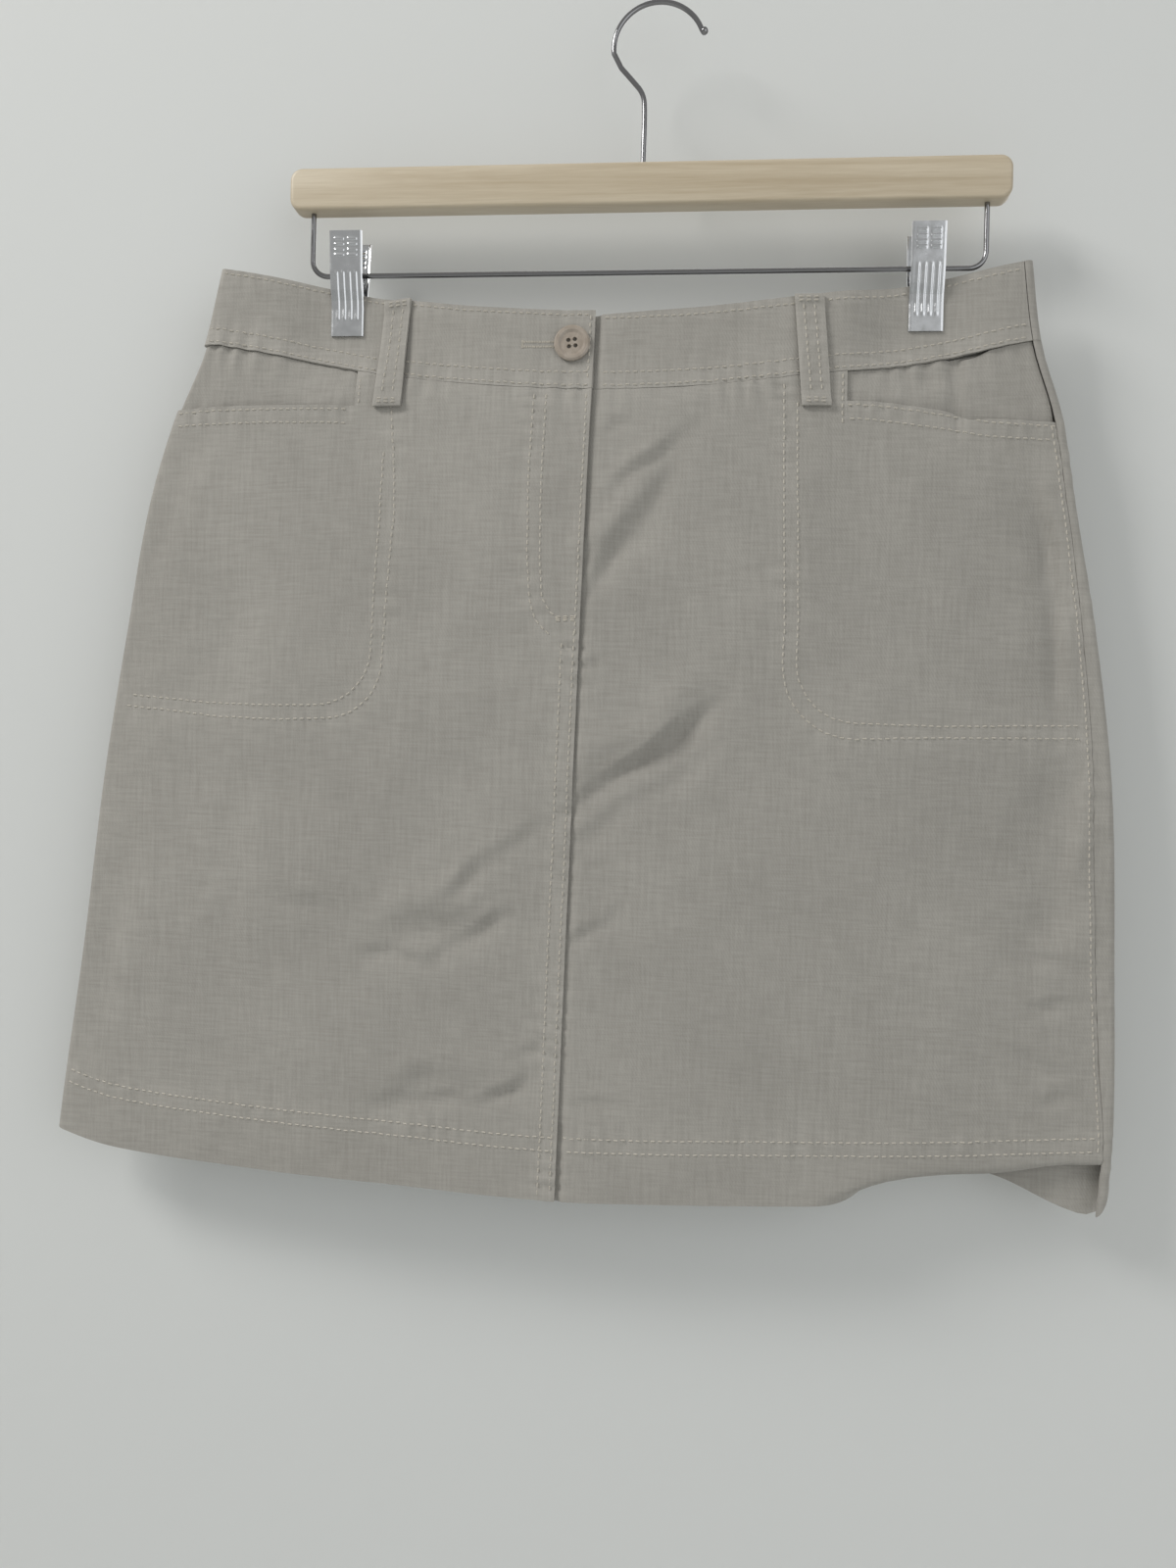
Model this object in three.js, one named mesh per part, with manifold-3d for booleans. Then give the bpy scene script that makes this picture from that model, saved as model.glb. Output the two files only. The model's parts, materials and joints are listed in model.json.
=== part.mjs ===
// A khaki cotton skort, hung by its waistband from a wooden hanger with two metal clips.
//
// Millimetres, +Z up. The origin is the underside of the hook's crook, where a rail would
// carry the hanger. The garment faces -Y. Left and right in the names are the wearer's,
// so the right half lies towards -X.
//
// The cloth hangs as a flattened tube: a front and a back face that swell slowly away from
// each other, joined by a tight round fold at each side. Every cloth piece is a grid of
// columns (down the garment) and rows (across it) laid on that tube, given a wall.

import * as THREE from "three";
import { mergeVertices } from "three/addons/utils/BufferGeometryUtils.js";
import manifoldModule from "manifold-3d";

const wasm = await manifoldModule();
wasm.setup();

// ---------------------------------------------------------------- driving dimensions

const seamGap = 0.3; // between pieces that are sewn or seated together
const wall = 1; // one layer of cloth
const bandWall = 1.6; // the waistband is two layers
const hemWall = 1.9; // the hem is turned up, so two layers
const layerGap = 0.4; // between cloth layers that lie on each other
const foldRadius = 4; // of the round folds at the two sides
const bandHeight = 39;
const hemDepth = 31; // from the upper row of hem stitching to the edge
const hemBend = 3; // bend radius where the front hem has flipped under

// The outline and the swell of the tube at heights below the hook, from the hem up.
const sections = [
  { z: -588, left: -299.0, right: 226.0, front: 14.0, back: 12.0 },
  { z: -545, left: -294.5, right: 228.5, front: 14.5, back: 12.5 },
  { z: -475, left: -286.0, right: 227.5, front: 16.0, back: 13.0 },
  { z: -385, left: -276.7, right: 224.5, front: 18.0, back: 13.0 },
  { z: -310, left: -266.0, right: 215.5, front: 19.0, back: 13.0 },
  { z: -250, left: -256.5, right: 205.0, front: 17.5, back: 12.0 },
  { z: -205, left: -244.0, right: 197.5, front: 15.0, back: 11.0 },
  { z: -170, left: -230.0, right: 187.0, front: 12.0, back: 9.5 },
  { z: -128, left: -220.5, right: 181.5, front: 10.0, back: 8.0 },
];

// The curved top edge of the waistband, dipping to the centre.
const waistLine = [
  { x: -222, z: -128.5 },
  { x: -166, z: -139.0 },
  { x: -121, z: -148.0 },
  { x: -75, z: -152.8 },
  { x: -28, z: -154.8 },
  { x: 20, z: -153.4 },
  { x: 67, z: -148.5 },
  { x: 119, z: -142.2 },
  { x: 183, z: -129.5 },
];

const frontHemLine = [
  { x: -300, z: -566.0 },
  { x: -265, z: -575.5 },
  { x: -200, z: -581.5 },
  { x: -120, z: -586.0 },
  { x: -35, z: -590.0 },
  { x: 60, z: -587.5 },
  { x: 135, z: -585.0 },
  { x: 230, z: -580.0 },
];

const backHemLine = [
  { x: -300, z: -566.0 },
  { x: -200, z: -577.0 },
  { x: -60, z: -580.0 },
  { x: 60, z: -577.0 },
  { x: 140, z: -567.0 },
  { x: 175, z: -572.0 },
  { x: 206, z: -585.0 },
  { x: 221, z: -587.0 },
  { x: 229, z: -575.0 },
];

// The front hem has flipped under near the left side seam: it runs straight down for a
// while, bends back by the turn (degrees), and goes on to its whole length.
const hemFlip = [
  { x: -300, straight: 30.0, turn: 0, length: 31 },
  { x: 80, straight: 30.0, turn: 0, length: 31 },
  { x: 100, straight: 24.0, turn: 40, length: 31 },
  { x: 120, straight: 17.0, turn: 110, length: 31 },
  { x: 145, straight: 13.5, turn: 170, length: 31 },
  { x: 175, straight: 13.0, turn: 172, length: 31 },
  { x: 198, straight: 10.5, turn: 165, length: 24 },
  { x: 212, straight: 10.0, turn: 60, length: 14 },
  { x: 230, straight: 12.0, turn: 0, length: 13 },
];

// The largest folds of the front, each a soft trough between two ends: the depth goes
// inwards, the width is half of the trough's, and the lip is the ridge thrown up above it.
const frontFolds = [
  { x1: 184, z1: -232, x2: 199, z2: -352, width: 11, depth: 2.6, lip: 0.4 },
  { x1: 202, z1: -368, x2: 184, z2: -470, width: 13, depth: 3.0, lip: 0.5 },
  { x1: -33, z1: -401, x2: 40, z2: -343, width: 10, depth: 2.6, lip: 0.6 },
  { x1: -26, z1: -292, x2: 26, z2: -208, width: 9, depth: 1.8, lip: 0.5 },
  { x1: -136, z1: -470, x2: -58, z2: -455, width: 10, depth: 2.0, lip: 0.5 },
  { x1: -193, z1: -249, x2: -250, z2: -410, width: 22, depth: 1.6, lip: 0.2 },
  { x1: -129, z1: -546, x2: -49, z2: -534, width: 9, depth: 1.4, lip: 0.5 },
];

// The cut-in front pockets: the square corner beside the belt loop, the opening's line,
// and the pocket bag that hangs behind it.
const bagFloor = -360;
const pocketSlackDepth = 3; // how far a pocket's mouth gapes, at its middle
const rightPocket = { corner: -147.5, bagEdge: -124 };
const leftPocket = { corner: 94, bagEdge: 61 };
const rightMouthLine = [
  { x: -260, z: -200.8 },
  { x: -148, z: -200.8 },
  { x: -25, z: -203.0 },
];
const leftMouthLine = [
  { x: -45, z: -203.0 },
  { x: 94, z: -199.5 },
  { x: 140, z: -204.0 },
  { x: 165, z: -207.5 },
  { x: 230, z: -207.8 },
];

// The left side seam has rolled onto the front: its distance from the outline.
const leftSeamInset = [
  { z: -588, inset: 5.5 },
  { z: -551, inset: 5.5 },
  { z: -513, inset: 8.3 },
  { z: -422, inset: 10.9 },
  { z: -346, inset: 8.4 },
  { z: -294, inset: 6.6 },
  { z: -254, inset: 5.0 },
  { z: -128, inset: 4.8 },
];
const rightSeamInset = 6; // the right side seam has rolled onto the back

const lapWidth = 12; // of the left front under the right front at the centre
const lapRamp = 9;

const loop = { width: 14, thickness: 1.2, above: 1.5, below: 16, puff: 1.2 };
const frontLoops = {
  belt_loop_front_right: { top: -127, bottom: -130.5 },
  belt_loop_front_left: { top: 75, bottom: 79.5 },
};
const backLoops = {
  belt_loop_back_right: { top: -112, bottom: -115 },
  belt_loop_back_centre: { top: -25, bottom: -26 },
  belt_loop_back_left: { top: 60, bottom: 63 },
};

const button = { x: -39.1, z: -171.6, radius: 8.85, thickness: 2.6, hole: 1.1, holeSpacing: 3.2 };

const underlap = { left: -34, right: 4, floor: -322 }; // beside the centre line

// The inner shorts: cut clear of the skirt's folds, with two short legs.
const shorts = { sideInset: 26, crotch: -440, hem: -525, legSpread: 0.12, middle: 0.5, edge: 1.15 };

const bar = { centre: -6.9, length: 355.6, top: -79.7, height: 21.1, depth: 12, corner: 6, bevel: 1.6 };
const wire = 2.6; // diameter of the hook and of the rod
const socketDepth = 10; // of the wires into the bar
const crook = { radius: 22.4, z: -21.05, x: -0.6 }; // centre line of the hook's arc
const rod = { halfSpan: 166.7, z: -132.5, corner: 8 };
const clip = { width: 16.4, plate: 0.9, top: -113, pivot: -132.5, grip: -150, bottom: -163.6 };
const clipHandle = 9.2; // half of the opening between the clip's two handles, at the top
const clipPivotHalf = 7; // the same, at the rod
const clipPlaces = { right: -154.4, left: 131.5 };
const pinchHalf = clip.width / 2 + 1.5; // half width of the cloth that the jaws flatten
const pinchReach = 42; // how far out the cloth is drawn in
const pinchDrop = 34; // and how far below the jaws
const jawHalf = bandWall + seamGap / 2; // from the middle to the cloth's face in the jaws

// ---------------------------------------------------------------- small maths

const clamp01 = (t) => Math.min(1, Math.max(0, t));

const mix = (a, b, t) => a + (b - a) * t;

function smooth(from, to, value) {
  const t = clamp01((value - from) / (to - from));
  return t * t * (3 - 2 * t);
}

// A smooth curve through one column of a table whose rows rise in the key.
function along(table, key, column, value) {
  const last = table.length - 1;
  const at = Math.min(Math.max(value, table[0][key]), table[last][key]);
  let i = 0;
  while (i < last - 1 && at > table[i + 1][key]) i += 1;
  const slope = (n) => {
    const before = table[Math.max(n - 1, 0)];
    const after = table[Math.min(n + 1, last)];
    return (after[column] - before[column]) / (after[key] - before[key]);
  };
  const span = table[i + 1][key] - table[i][key];
  const t = (at - table[i][key]) / span;
  const rise = t * t * (3 - 2 * t);
  const leave = t * (1 - t) * (1 - t) * span * slope(i);
  const arrive = t * t * (1 - t) * span * slope(i + 1);
  return mix(table[i][column], table[i + 1][column], rise) + leave - arrive;
}

const leftOutline = (z) => along(sections, "z", "left", z);
const rightOutline = (z) => along(sections, "z", "right", z);
const waist = (x) => along(waistLine, "x", "z", x);
const bandSeam = (x) => waist(x) - bandHeight;
const panelTop = (x) => bandSeam(x) - 0.5;
const frontHem = (x) => along(frontHemLine, "x", "z", x);
const backHem = (x) => along(backHemLine, "x", "z", x);
const centreFront = (z) => -28 + 0.0238 * (z + 155);

// ---------------------------------------------------------------- the tube of cloth

// How far a face of the tube stands from its middle plane.
function swell(x, z, face) {
  const left = leftOutline(z);
  const right = rightOutline(z);
  const inset = Math.max(Math.min(x - left, right - x), 0);
  if (inset < foldRadius) return Math.sqrt(foldRadius ** 2 - (foldRadius - inset) ** 2);
  const t = clamp01((inset - foldRadius) / ((right - left) / 2 - foldRadius));
  const full = along(sections, "z", face, z);
  return foldRadius + (full - foldRadius) * (1 - (1 - t) ** 2.2);
}

// The share by which a clip draws the two faces together.
function pinch(x, z) {
  const height = 1 - smooth(0, pinchDrop, clip.bottom - z);
  const near = Object.values(clipPlaces).map((place) => {
    return 1 - smooth(pinchHalf, pinchReach, Math.abs(x - place));
  });
  return height * Math.max(...near);
}

function foldDepth(x, z) {
  const inset = Math.min(x - leftOutline(z), rightOutline(z) - x);
  const fade = smooth(foldRadius, 22, inset) * smooth(0, 12, panelTop(x) - z);
  let total = 0;
  for (const fold of frontFolds) {
    const run = Math.hypot(fold.x2 - fold.x1, fold.z2 - fold.z1);
    const alongX = (fold.x2 - fold.x1) / run;
    const alongZ = (fold.z2 - fold.z1) / run;
    const t = ((x - fold.x1) * alongX + (z - fold.z1) * alongZ) / run;
    const off = ((x - fold.x1) * -alongZ + (z - fold.z1) * alongX) / fold.width;
    const ends = smooth(-0.15, 0.3, t) * (1 - smooth(0.7, 1.15, t));
    const trough = Math.exp(-off * off);
    const ridge = fold.lip * Math.exp(-((off - 1.5) ** 2) * 1.5);
    total += fold.depth * ends * (trough - ridge);
  }
  return total * fade;
}

function frontY(x, z) {
  const open = mix(swell(x, z, "front"), jawHalf, pinch(x, z));
  return -open + foldDepth(x, z);
}

function backY(x, z) {
  return mix(swell(x, z, "back"), jawHalf, pinch(x, z));
}

// Columns run down the garment and give the place of the cloth at a height.
const frontColumn = (place) => (z) => ({ x: place(z), y: frontY(place(z), z) });
const backColumn = (place) => (z) => ({ x: place(z), y: backY(place(z), z) });

// A column on the side fold, turned from the outline towards the front or the back.
function foldColumn(side, towards, degrees) {
  const turn = THREE.MathUtils.degToRad(degrees);
  const inwards = side === "right" ? -1 : 1;
  const outline = side === "right" ? rightOutline : leftOutline;
  return (z) => ({
    x: outline(z) + inwards * foldRadius * (1 - Math.cos(turn)),
    y: towards * foldRadius * Math.sin(turn),
  });
}

const FRONT = -1;
const BACK = 1;

// Places between two columns, without the first.
function between(from, to, count) {
  const places = [];
  for (let n = 1; n <= count; n += 1) {
    places.push((z) => mix(from(z), to(z), n / count));
  }
  return places;
}

// Rows run across the garment: each is a height that depends on the place across.
function rowsBetween(from, to, count) {
  const rows = [];
  for (let n = 0; n <= count; n += 1) {
    rows.push((x) => mix(from(x), to(x), n / count));
  }
  return rows;
}

// The point where a column meets a row.
function crossing(column, row) {
  let spot = column(-350);
  let z = -350;
  for (let pass = 0; pass < 5; pass += 1) {
    z = row(spot.x);
    spot = column(z);
  }
  return new THREE.Vector3(spot.x, spot.y, z);
}

const gridOf = (columns, rows) => rows.map((row) => columns.map((column) => crossing(column, row)));

// ---------------------------------------------------------------- cloth solids

function closedGeometry(points, triangles) {
  const geometry = new THREE.BufferGeometry();
  const flat = points.flatMap((point) => [point.x, point.y, point.z]);
  geometry.setAttribute("position", new THREE.Float32BufferAttribute(flat, 3));
  geometry.setIndex(triangles.flat());
  geometry.computeVertexNormals();
  return geometry;
}

// A wall of cloth over a grid of points. The grid's columns run to the right and its rows
// run down as seen from outside. The outer and inner faces are moved out along the grid's
// own normals; cells that the pattern leaves out are skipped.
function clothGeometry(grid, { outer = () => 0, thickness = () => wall, skip = () => false } = {}) {
  const rowCount = grid.length - 1;
  const columnCount = grid[0].length - 1;
  const kept = (i, j) => i >= 0 && j >= 0 && i < rowCount && j < columnCount && !skip(i, j);
  const normals = grid.map((row) => row.map(() => new THREE.Vector3()));
  const used = grid.map((row) => row.map(() => false));
  for (let i = 0; i < rowCount; i += 1) {
    for (let j = 0; j < columnCount; j += 1) {
      const down = grid[i + 1][j + 1].clone().sub(grid[i][j]);
      const up = grid[i][j + 1].clone().sub(grid[i + 1][j]);
      const normal = down.cross(up).normalize();
      for (const [a, b] of [[i, j], [i, j + 1], [i + 1, j], [i + 1, j + 1]]) {
        normals[a][b].add(normal);
        used[a][b] = used[a][b] || kept(i, j);
      }
    }
  }
  const points = [];
  const outside = grid.map((row) => row.map(() => -1));
  const inside = grid.map((row) => row.map(() => -1));
  grid.forEach((row, i) => row.forEach((point, j) => {
    if (!used[i][j]) return;
    const normal = normals[i][j].normalize();
    const lift = outer(i, j);
    outside[i][j] = points.push(point.clone().addScaledVector(normal, lift)) - 1;
    inside[i][j] = points.push(point.clone().addScaledVector(normal, lift - thickness(i, j))) - 1;
  }));
  const triangles = [];
  const quad = (a, b, c, d) => triangles.push([a, b, c], [a, c, d]);
  for (let i = 0; i < rowCount; i += 1) {
    for (let j = 0; j < columnCount; j += 1) {
      if (!kept(i, j)) continue;
      const corners = [[i, j], [i + 1, j], [i + 1, j + 1], [i, j + 1]];
      const [a, b, c, d] = corners.map(([m, n]) => outside[m][n]);
      const [e, f, g, h] = corners.map(([m, n]) => inside[m][n]);
      quad(a, b, c, d);
      quad(h, g, f, e);
      if (!kept(i, j - 1)) quad(e, f, b, a);
      if (!kept(i + 1, j)) quad(f, g, c, b);
      if (!kept(i, j + 1)) quad(g, h, d, c);
      if (!kept(i - 1, j)) quad(h, e, a, d);
    }
  }
  return closedGeometry(points, triangles);
}

// ---------------------------------------------------------------- finishes

const finish = {
  twill: new THREE.MeshStandardMaterial({ color: "#95918a", roughness: 0.92, metalness: 0 }),
  lining: new THREE.MeshStandardMaterial({ color: "#8d8a84", roughness: 0.92, metalness: 0 }),
  button: new THREE.MeshStandardMaterial({ color: "#a39b92", roughness: 0.4, metalness: 0 }),
  wood: new THREE.MeshStandardMaterial({ color: "#bbb2a2", roughness: 0.6, metalness: 0 }),
  chrome: new THREE.MeshStandardMaterial({ color: "#b9bcbf", roughness: 0.2, metalness: 1 }),
};

const skort = new THREE.Group();

function add(name, geometry, material) {
  const mesh = new THREE.Mesh(geometry, material.clone());
  mesh.name = name;
  skort.add(mesh);
  return mesh;
}

// ---------------------------------------------------------------- skirt panels

const halfGap = seamGap / 2 + 0.05;
const constant = (value) => () => value;
const shift = (place, by) => (z) => place(z) + by;

const seamOnFront = (z) => rightOutline(z) - along(leftSeamInset, "z", "inset", z);
const seamOnBack = (z) => leftOutline(z) + rightSeamInset;

const rightMouth = (x) => along(rightMouthLine, "x", "z", x);
const leftMouth = (x) => along(leftMouthLine, "x", "z", x);

// Rows of a panel: the yoke above the pocket's mouth, the pocket's height and the rest.
const yokeRowCount = 2;
const pocketRowCount = 8;
const lowerRowCount = 8;

function panelRows(mouth, hem) {
  const hemStitch = (x) => hem(x) + hemDepth;
  const upper = rowsBetween(panelTop, mouth, yokeRowCount);
  const middle = rowsBetween(mouth, constant(bagFloor), pocketRowCount);
  const lower = rowsBetween(constant(bagFloor), hemStitch, lowerRowCount);
  return [...upper, ...middle.slice(1), ...lower.slice(1)];
}

// The place of the hem's cloth at a distance below the stitching, where it has flipped.
function hemStep(x, share) {
  const straight = along(hemFlip, "x", "straight", x);
  const turn = THREE.MathUtils.degToRad(Math.max(along(hemFlip, "x", "turn", x), 0));
  const distance = along(hemFlip, "x", "length", x) * share;
  if (distance <= straight) return { down: distance, back: 0 };
  const bent = Math.min((distance - straight) / hemBend, turn);
  const rest = distance - straight - hemBend * bent;
  return {
    down: straight + hemBend * Math.sin(bent) + rest * Math.cos(bent),
    back: hemBend * (1 - Math.cos(bent)) + rest * Math.sin(bent),
  };
}

// Adds the hem's rows under a grid that ends at the hem's stitching.
function withHem(grid, columns, shares) {
  const last = grid[grid.length - 1];
  const rows = shares.map((share) => last.map((point, j) => {
    const step = hemStep(point.x, share);
    const z = point.z - step.down;
    const spot = columns[j](z);
    return new THREE.Vector3(spot.x, spot.y + step.back, z);
  }));
  return [...grid, ...rows];
}

const hemRowThickness = (rowCount, hemRows) => (i) => (i > rowCount - hemRows ? hemWall : wall);

function rightFrontColumns() {
  const corner = constant(rightPocket.corner);
  const edge = constant(rightPocket.bagEdge);
  const foldEnd = (z) => leftOutline(z) + foldRadius;
  const lapStart = shift(centreFront, -lapWidth);
  return [
    backColumn(shift(seamOnBack, -halfGap)),
    foldColumn("left", BACK, 90),
    foldColumn("left", BACK, 45),
    foldColumn("left", FRONT, 0),
    foldColumn("left", FRONT, 45),
    foldColumn("left", FRONT, 90),
    ...between(foldEnd, corner, 6).map(frontColumn),
    ...between(corner, edge, 1).map(frontColumn),
    ...between(edge, lapStart, 4).map(frontColumn),
    frontColumn(centreFront),
  ];
}

// The left front runs under the right one at the centre, further in by the right's wall.
function lapped(columns, wallAt) {
  return columns.map((column) => (z) => {
    const spot = column(z);
    const centre = centreFront(z);
    const share = 1 - smooth(centre + 1, centre + lapRamp, spot.x);
    return { x: spot.x, y: spot.y + (wallAt(spot.x, z) + layerGap) * share };
  });
}

function panelWall(x, z) {
  const hemStitch = frontHem(x) + hemDepth;
  return mix(hemWall, wall, smooth(hemStitch, hemStitch + 20, z));
}

function leftFrontColumns() {
  const corner = constant(leftPocket.corner);
  const edge = constant(leftPocket.bagEdge);
  const lapEnd = shift(centreFront, lapRamp);
  const columns = [
    frontColumn(shift(centreFront, -lapWidth)),
    frontColumn(shift(centreFront, 1)),
    frontColumn(lapEnd),
    ...between(lapEnd, edge, 4).map(frontColumn),
    ...between(edge, corner, 2).map(frontColumn),
    ...between(corner, shift(seamOnFront, -halfGap), 8).map(frontColumn),
  ];
  return lapped(columns, panelWall);
}

const rightColumns = rightFrontColumns();
const leftColumns = leftFrontColumns();
const rightCornerColumn = 11;
const leftCornerColumn = 8;
const rightHemShares = [0.5, 1];
const leftHemShares = [0.22, 0.44, 0.54, 0.64, 0.74, 1];

const rightGrid = withHem(
  gridOf(rightColumns, panelRows(rightMouth, frontHem)), rightColumns, rightHemShares);
const leftGrid = withHem(
  gridOf(leftColumns, panelRows(leftMouth, frontHem)), leftColumns, leftHemShares);

add("front_panel_right", clothGeometry(rightGrid, {
  thickness: hemRowThickness(rightGrid.length - 1, rightHemShares.length),
  skip: (i, j) => i < yokeRowCount && j < rightCornerColumn,
}), finish.twill);

add("front_panel_left", clothGeometry(leftGrid, {
  thickness: hemRowThickness(leftGrid.length - 1, leftHemShares.length),
  skip: (i, j) => i < yokeRowCount && j >= leftCornerColumn,
}), finish.twill);

function backPanel() {
  const foldStart = (z) => rightOutline(z) - foldRadius;
  const columns = [
    frontColumn(shift(seamOnFront, halfGap)),
    foldColumn("right", FRONT, 89),
    foldColumn("right", FRONT, 45),
    foldColumn("right", BACK, 0),
    foldColumn("right", BACK, 45),
    foldColumn("right", BACK, 90),
    ...between(foldStart, shift(seamOnBack, halfGap), 15).map(backColumn),
  ];
  const hem = rowsBetween((x) => backHem(x) + hemDepth, backHem, 2);
  const grid = gridOf(columns, [...panelRows(leftMouth, backHem), ...hem.slice(1)]);
  return clothGeometry(grid, { thickness: hemRowThickness(grid.length - 1, 2) });
}

add("back_panel", backPanel(), finish.twill);

// ---------------------------------------------------------------- pocket facings

// How far the pocket's facing hangs back from the panel, most in the middle of the mouth.
function pocketSlack(point, pocket, mouth, outline) {
  const across = clamp01((point.x - outline(point.z)) / (pocket.corner - outline(point.z)));
  const above = smooth(panelTop(point.x), mouth(point.x), point.z);
  const below = smooth(bagFloor, mouth(point.x), point.z);
  const held = 1 - pinch(point.x, point.z);
  return pocketSlackDepth * Math.sin(Math.PI * across) * above * below * held;
}

// A facing shares the panel's own grid from the side seam to the edge of the bag, one
// layer further in, and shows above the pocket's mouth.
function facingGeometry(grid, pocket, mouth, outline, cutCell) {
  const layer = wall + layerGap;
  const outer = (i, j) => -layer - pocketSlack(grid[i][j], pocket, mouth, outline);
  return clothGeometry(grid, { outer, skip: cutCell });
}

const facingRowCount = yokeRowCount + pocketRowCount;
const rightFacingGrid = rightGrid.slice(0, facingRowCount + 1).map((row) => row.slice(0, 13));
const leftFacingGrid = leftGrid.slice(0, facingRowCount + 1).map((row) => row.slice(6));

add("pocket_facing_right", facingGeometry(
  rightFacingGrid, rightPocket, rightMouth, leftOutline,
  (i, j) => i === facingRowCount - 1 && j === rightFacingGrid[0].length - 2), finish.twill);

add("pocket_facing_left", facingGeometry(
  leftFacingGrid, leftPocket, leftMouth, rightOutline,
  (i, j) => i === facingRowCount - 1 && j === 0), finish.twill);

// ---------------------------------------------------------------- waistband

const bandTurn = 3.5; // the band's side seams, beyond the side folds

function bandPlaces(clipPlace, loopPlace) {
  const clipEdges = [clipPlace - pinchHalf - 1, clipPlace + pinchHalf + 1];
  const loopEdges = [loopPlace - loop.width / 2 - 2, loopPlace + loop.width / 2 + 2];
  return [...clipEdges, ...loopEdges].sort((a, b) => a - b).map(constant);
}

function bandGeometry(columns) {
  const jawLine = constant(clip.bottom - 1.4);
  const lower = rowsBetween(jawLine, bandSeam, 1);
  const grid = gridOf(columns, [...rowsBetween(waist, jawLine, 2), ...lower.slice(1)]);
  return clothGeometry(grid, { thickness: () => bandWall });
}

function rightBand() {
  const places = bandPlaces(clipPlaces.right, frontLoops.belt_loop_front_right.top - 1.5);
  const foldEnd = (z) => leftOutline(z) + foldRadius;
  const last = places[places.length - 1];
  return bandGeometry([
    backColumn((z) => leftOutline(z) + foldRadius + bandTurn - halfGap),
    foldColumn("left", BACK, 90),
    foldColumn("left", BACK, 45),
    foldColumn("left", FRONT, 0),
    foldColumn("left", FRONT, 45),
    foldColumn("left", FRONT, 90),
    ...between(foldEnd, places[0], 2).map(frontColumn),
    ...places.slice(1).map(frontColumn),
    ...between(last, centreFront, 4).map(frontColumn),
  ]);
}

function leftBand() {
  const places = bandPlaces(clipPlaces.left, frontLoops.belt_loop_front_left.top + 2);
  const lapEnd = shift(centreFront, lapRamp);
  const last = places[places.length - 1];
  const seam = (z) => rightOutline(z) - foldRadius - 0.8 - halfGap;
  return bandGeometry(lapped([
    frontColumn(shift(centreFront, -2 * lapWidth)),
    frontColumn(shift(centreFront, 1)),
    frontColumn(lapEnd),
    ...between(lapEnd, places[0], 3).map(frontColumn),
    ...places.slice(1).map(frontColumn),
    ...between(last, seam, 2).map(frontColumn),
  ], () => bandWall));
}

function backBand() {
  const loopPlaces = Object.values(backLoops).map((place) => place.top - 0.5);
  const loopEdges = loopPlaces.flatMap((x) => [x - loop.width / 2 - 2, x + loop.width / 2 + 2]);
  const clipEdges = Object.values(clipPlaces).flatMap((x) => [x - pinchHalf - 1, x + pinchHalf + 1]);
  const fill = [-92, -58, 22, 55];
  const places = [...loopEdges, ...clipEdges, ...fill].sort((a, b) => b - a).map(constant);
  const foldStart = (z) => rightOutline(z) - foldRadius;
  const seam = (z) => leftOutline(z) + foldRadius + bandTurn + halfGap;
  return bandGeometry([
    frontColumn((z) => rightOutline(z) - foldRadius - 0.8 + halfGap),
    foldColumn("right", FRONT, 80),
    foldColumn("right", FRONT, 45),
    foldColumn("right", BACK, 0),
    foldColumn("right", BACK, 45),
    foldColumn("right", BACK, 90),
    ...between(foldStart, places[0], 2).map(backColumn),
    ...places.slice(1).map(backColumn),
    ...between(places[places.length - 1], seam, 2).map(backColumn),
  ]);
}

add("waistband_front_right", rightBand(), finish.twill);
add("waistband_front_left", leftBand(), finish.twill);
add("waistband_back", backBand(), finish.twill);

// The underlap backs the front opening, inside both fronts.
function underlapGeometry() {
  const left = shift(centreFront, underlap.left);
  const right = shift(centreFront, underlap.right);
  const columns = [frontColumn(left), ...between(left, right, 3).map(frontColumn)];
  const grid = gridOf(columns, rowsBetween(panelTop, constant(underlap.floor), 6));
  const sink = 2 * (wall + layerGap) + 0.3;
  return clothGeometry(grid, { outer: () => -sink });
}

add("fly_underlap", underlapGeometry(), finish.twill);

// ---------------------------------------------------------------- belt loops

// A strip over the waistband from its top edge to below its seam, puffed in the middle.
function loopGeometry(place, faceColumn, facing) {
  const waistAt = waist(place.top);
  const top = waistAt - loop.above;
  const bottom = waistAt - bandHeight - loop.below;
  const middle = (z) => mix(place.top, place.bottom, (top - z) / (top - bottom));
  const half = (facing * loop.width) / 2;
  const columns = [-half, 0, half].map((by) => faceColumn(shift(middle, by)));
  const rowCount = 6;
  const grid = gridOf(columns, rowsBetween(constant(top), constant(bottom), rowCount));
  const puff = (i) => seamGap + 0.25 + loop.puff * Math.sin((Math.PI * i) / rowCount);
  return clothGeometry(grid, {
    outer: (i) => puff(i) + loop.thickness,
    thickness: () => loop.thickness,
  });
}

for (const [name, place] of Object.entries(frontLoops)) {
  add(name, loopGeometry(place, frontColumn, 1), finish.twill);
}
for (const [name, place] of Object.entries(backLoops)) {
  add(name, loopGeometry(place, backColumn, -1), finish.twill);
}

// ---------------------------------------------------------------- inner shorts

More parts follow.
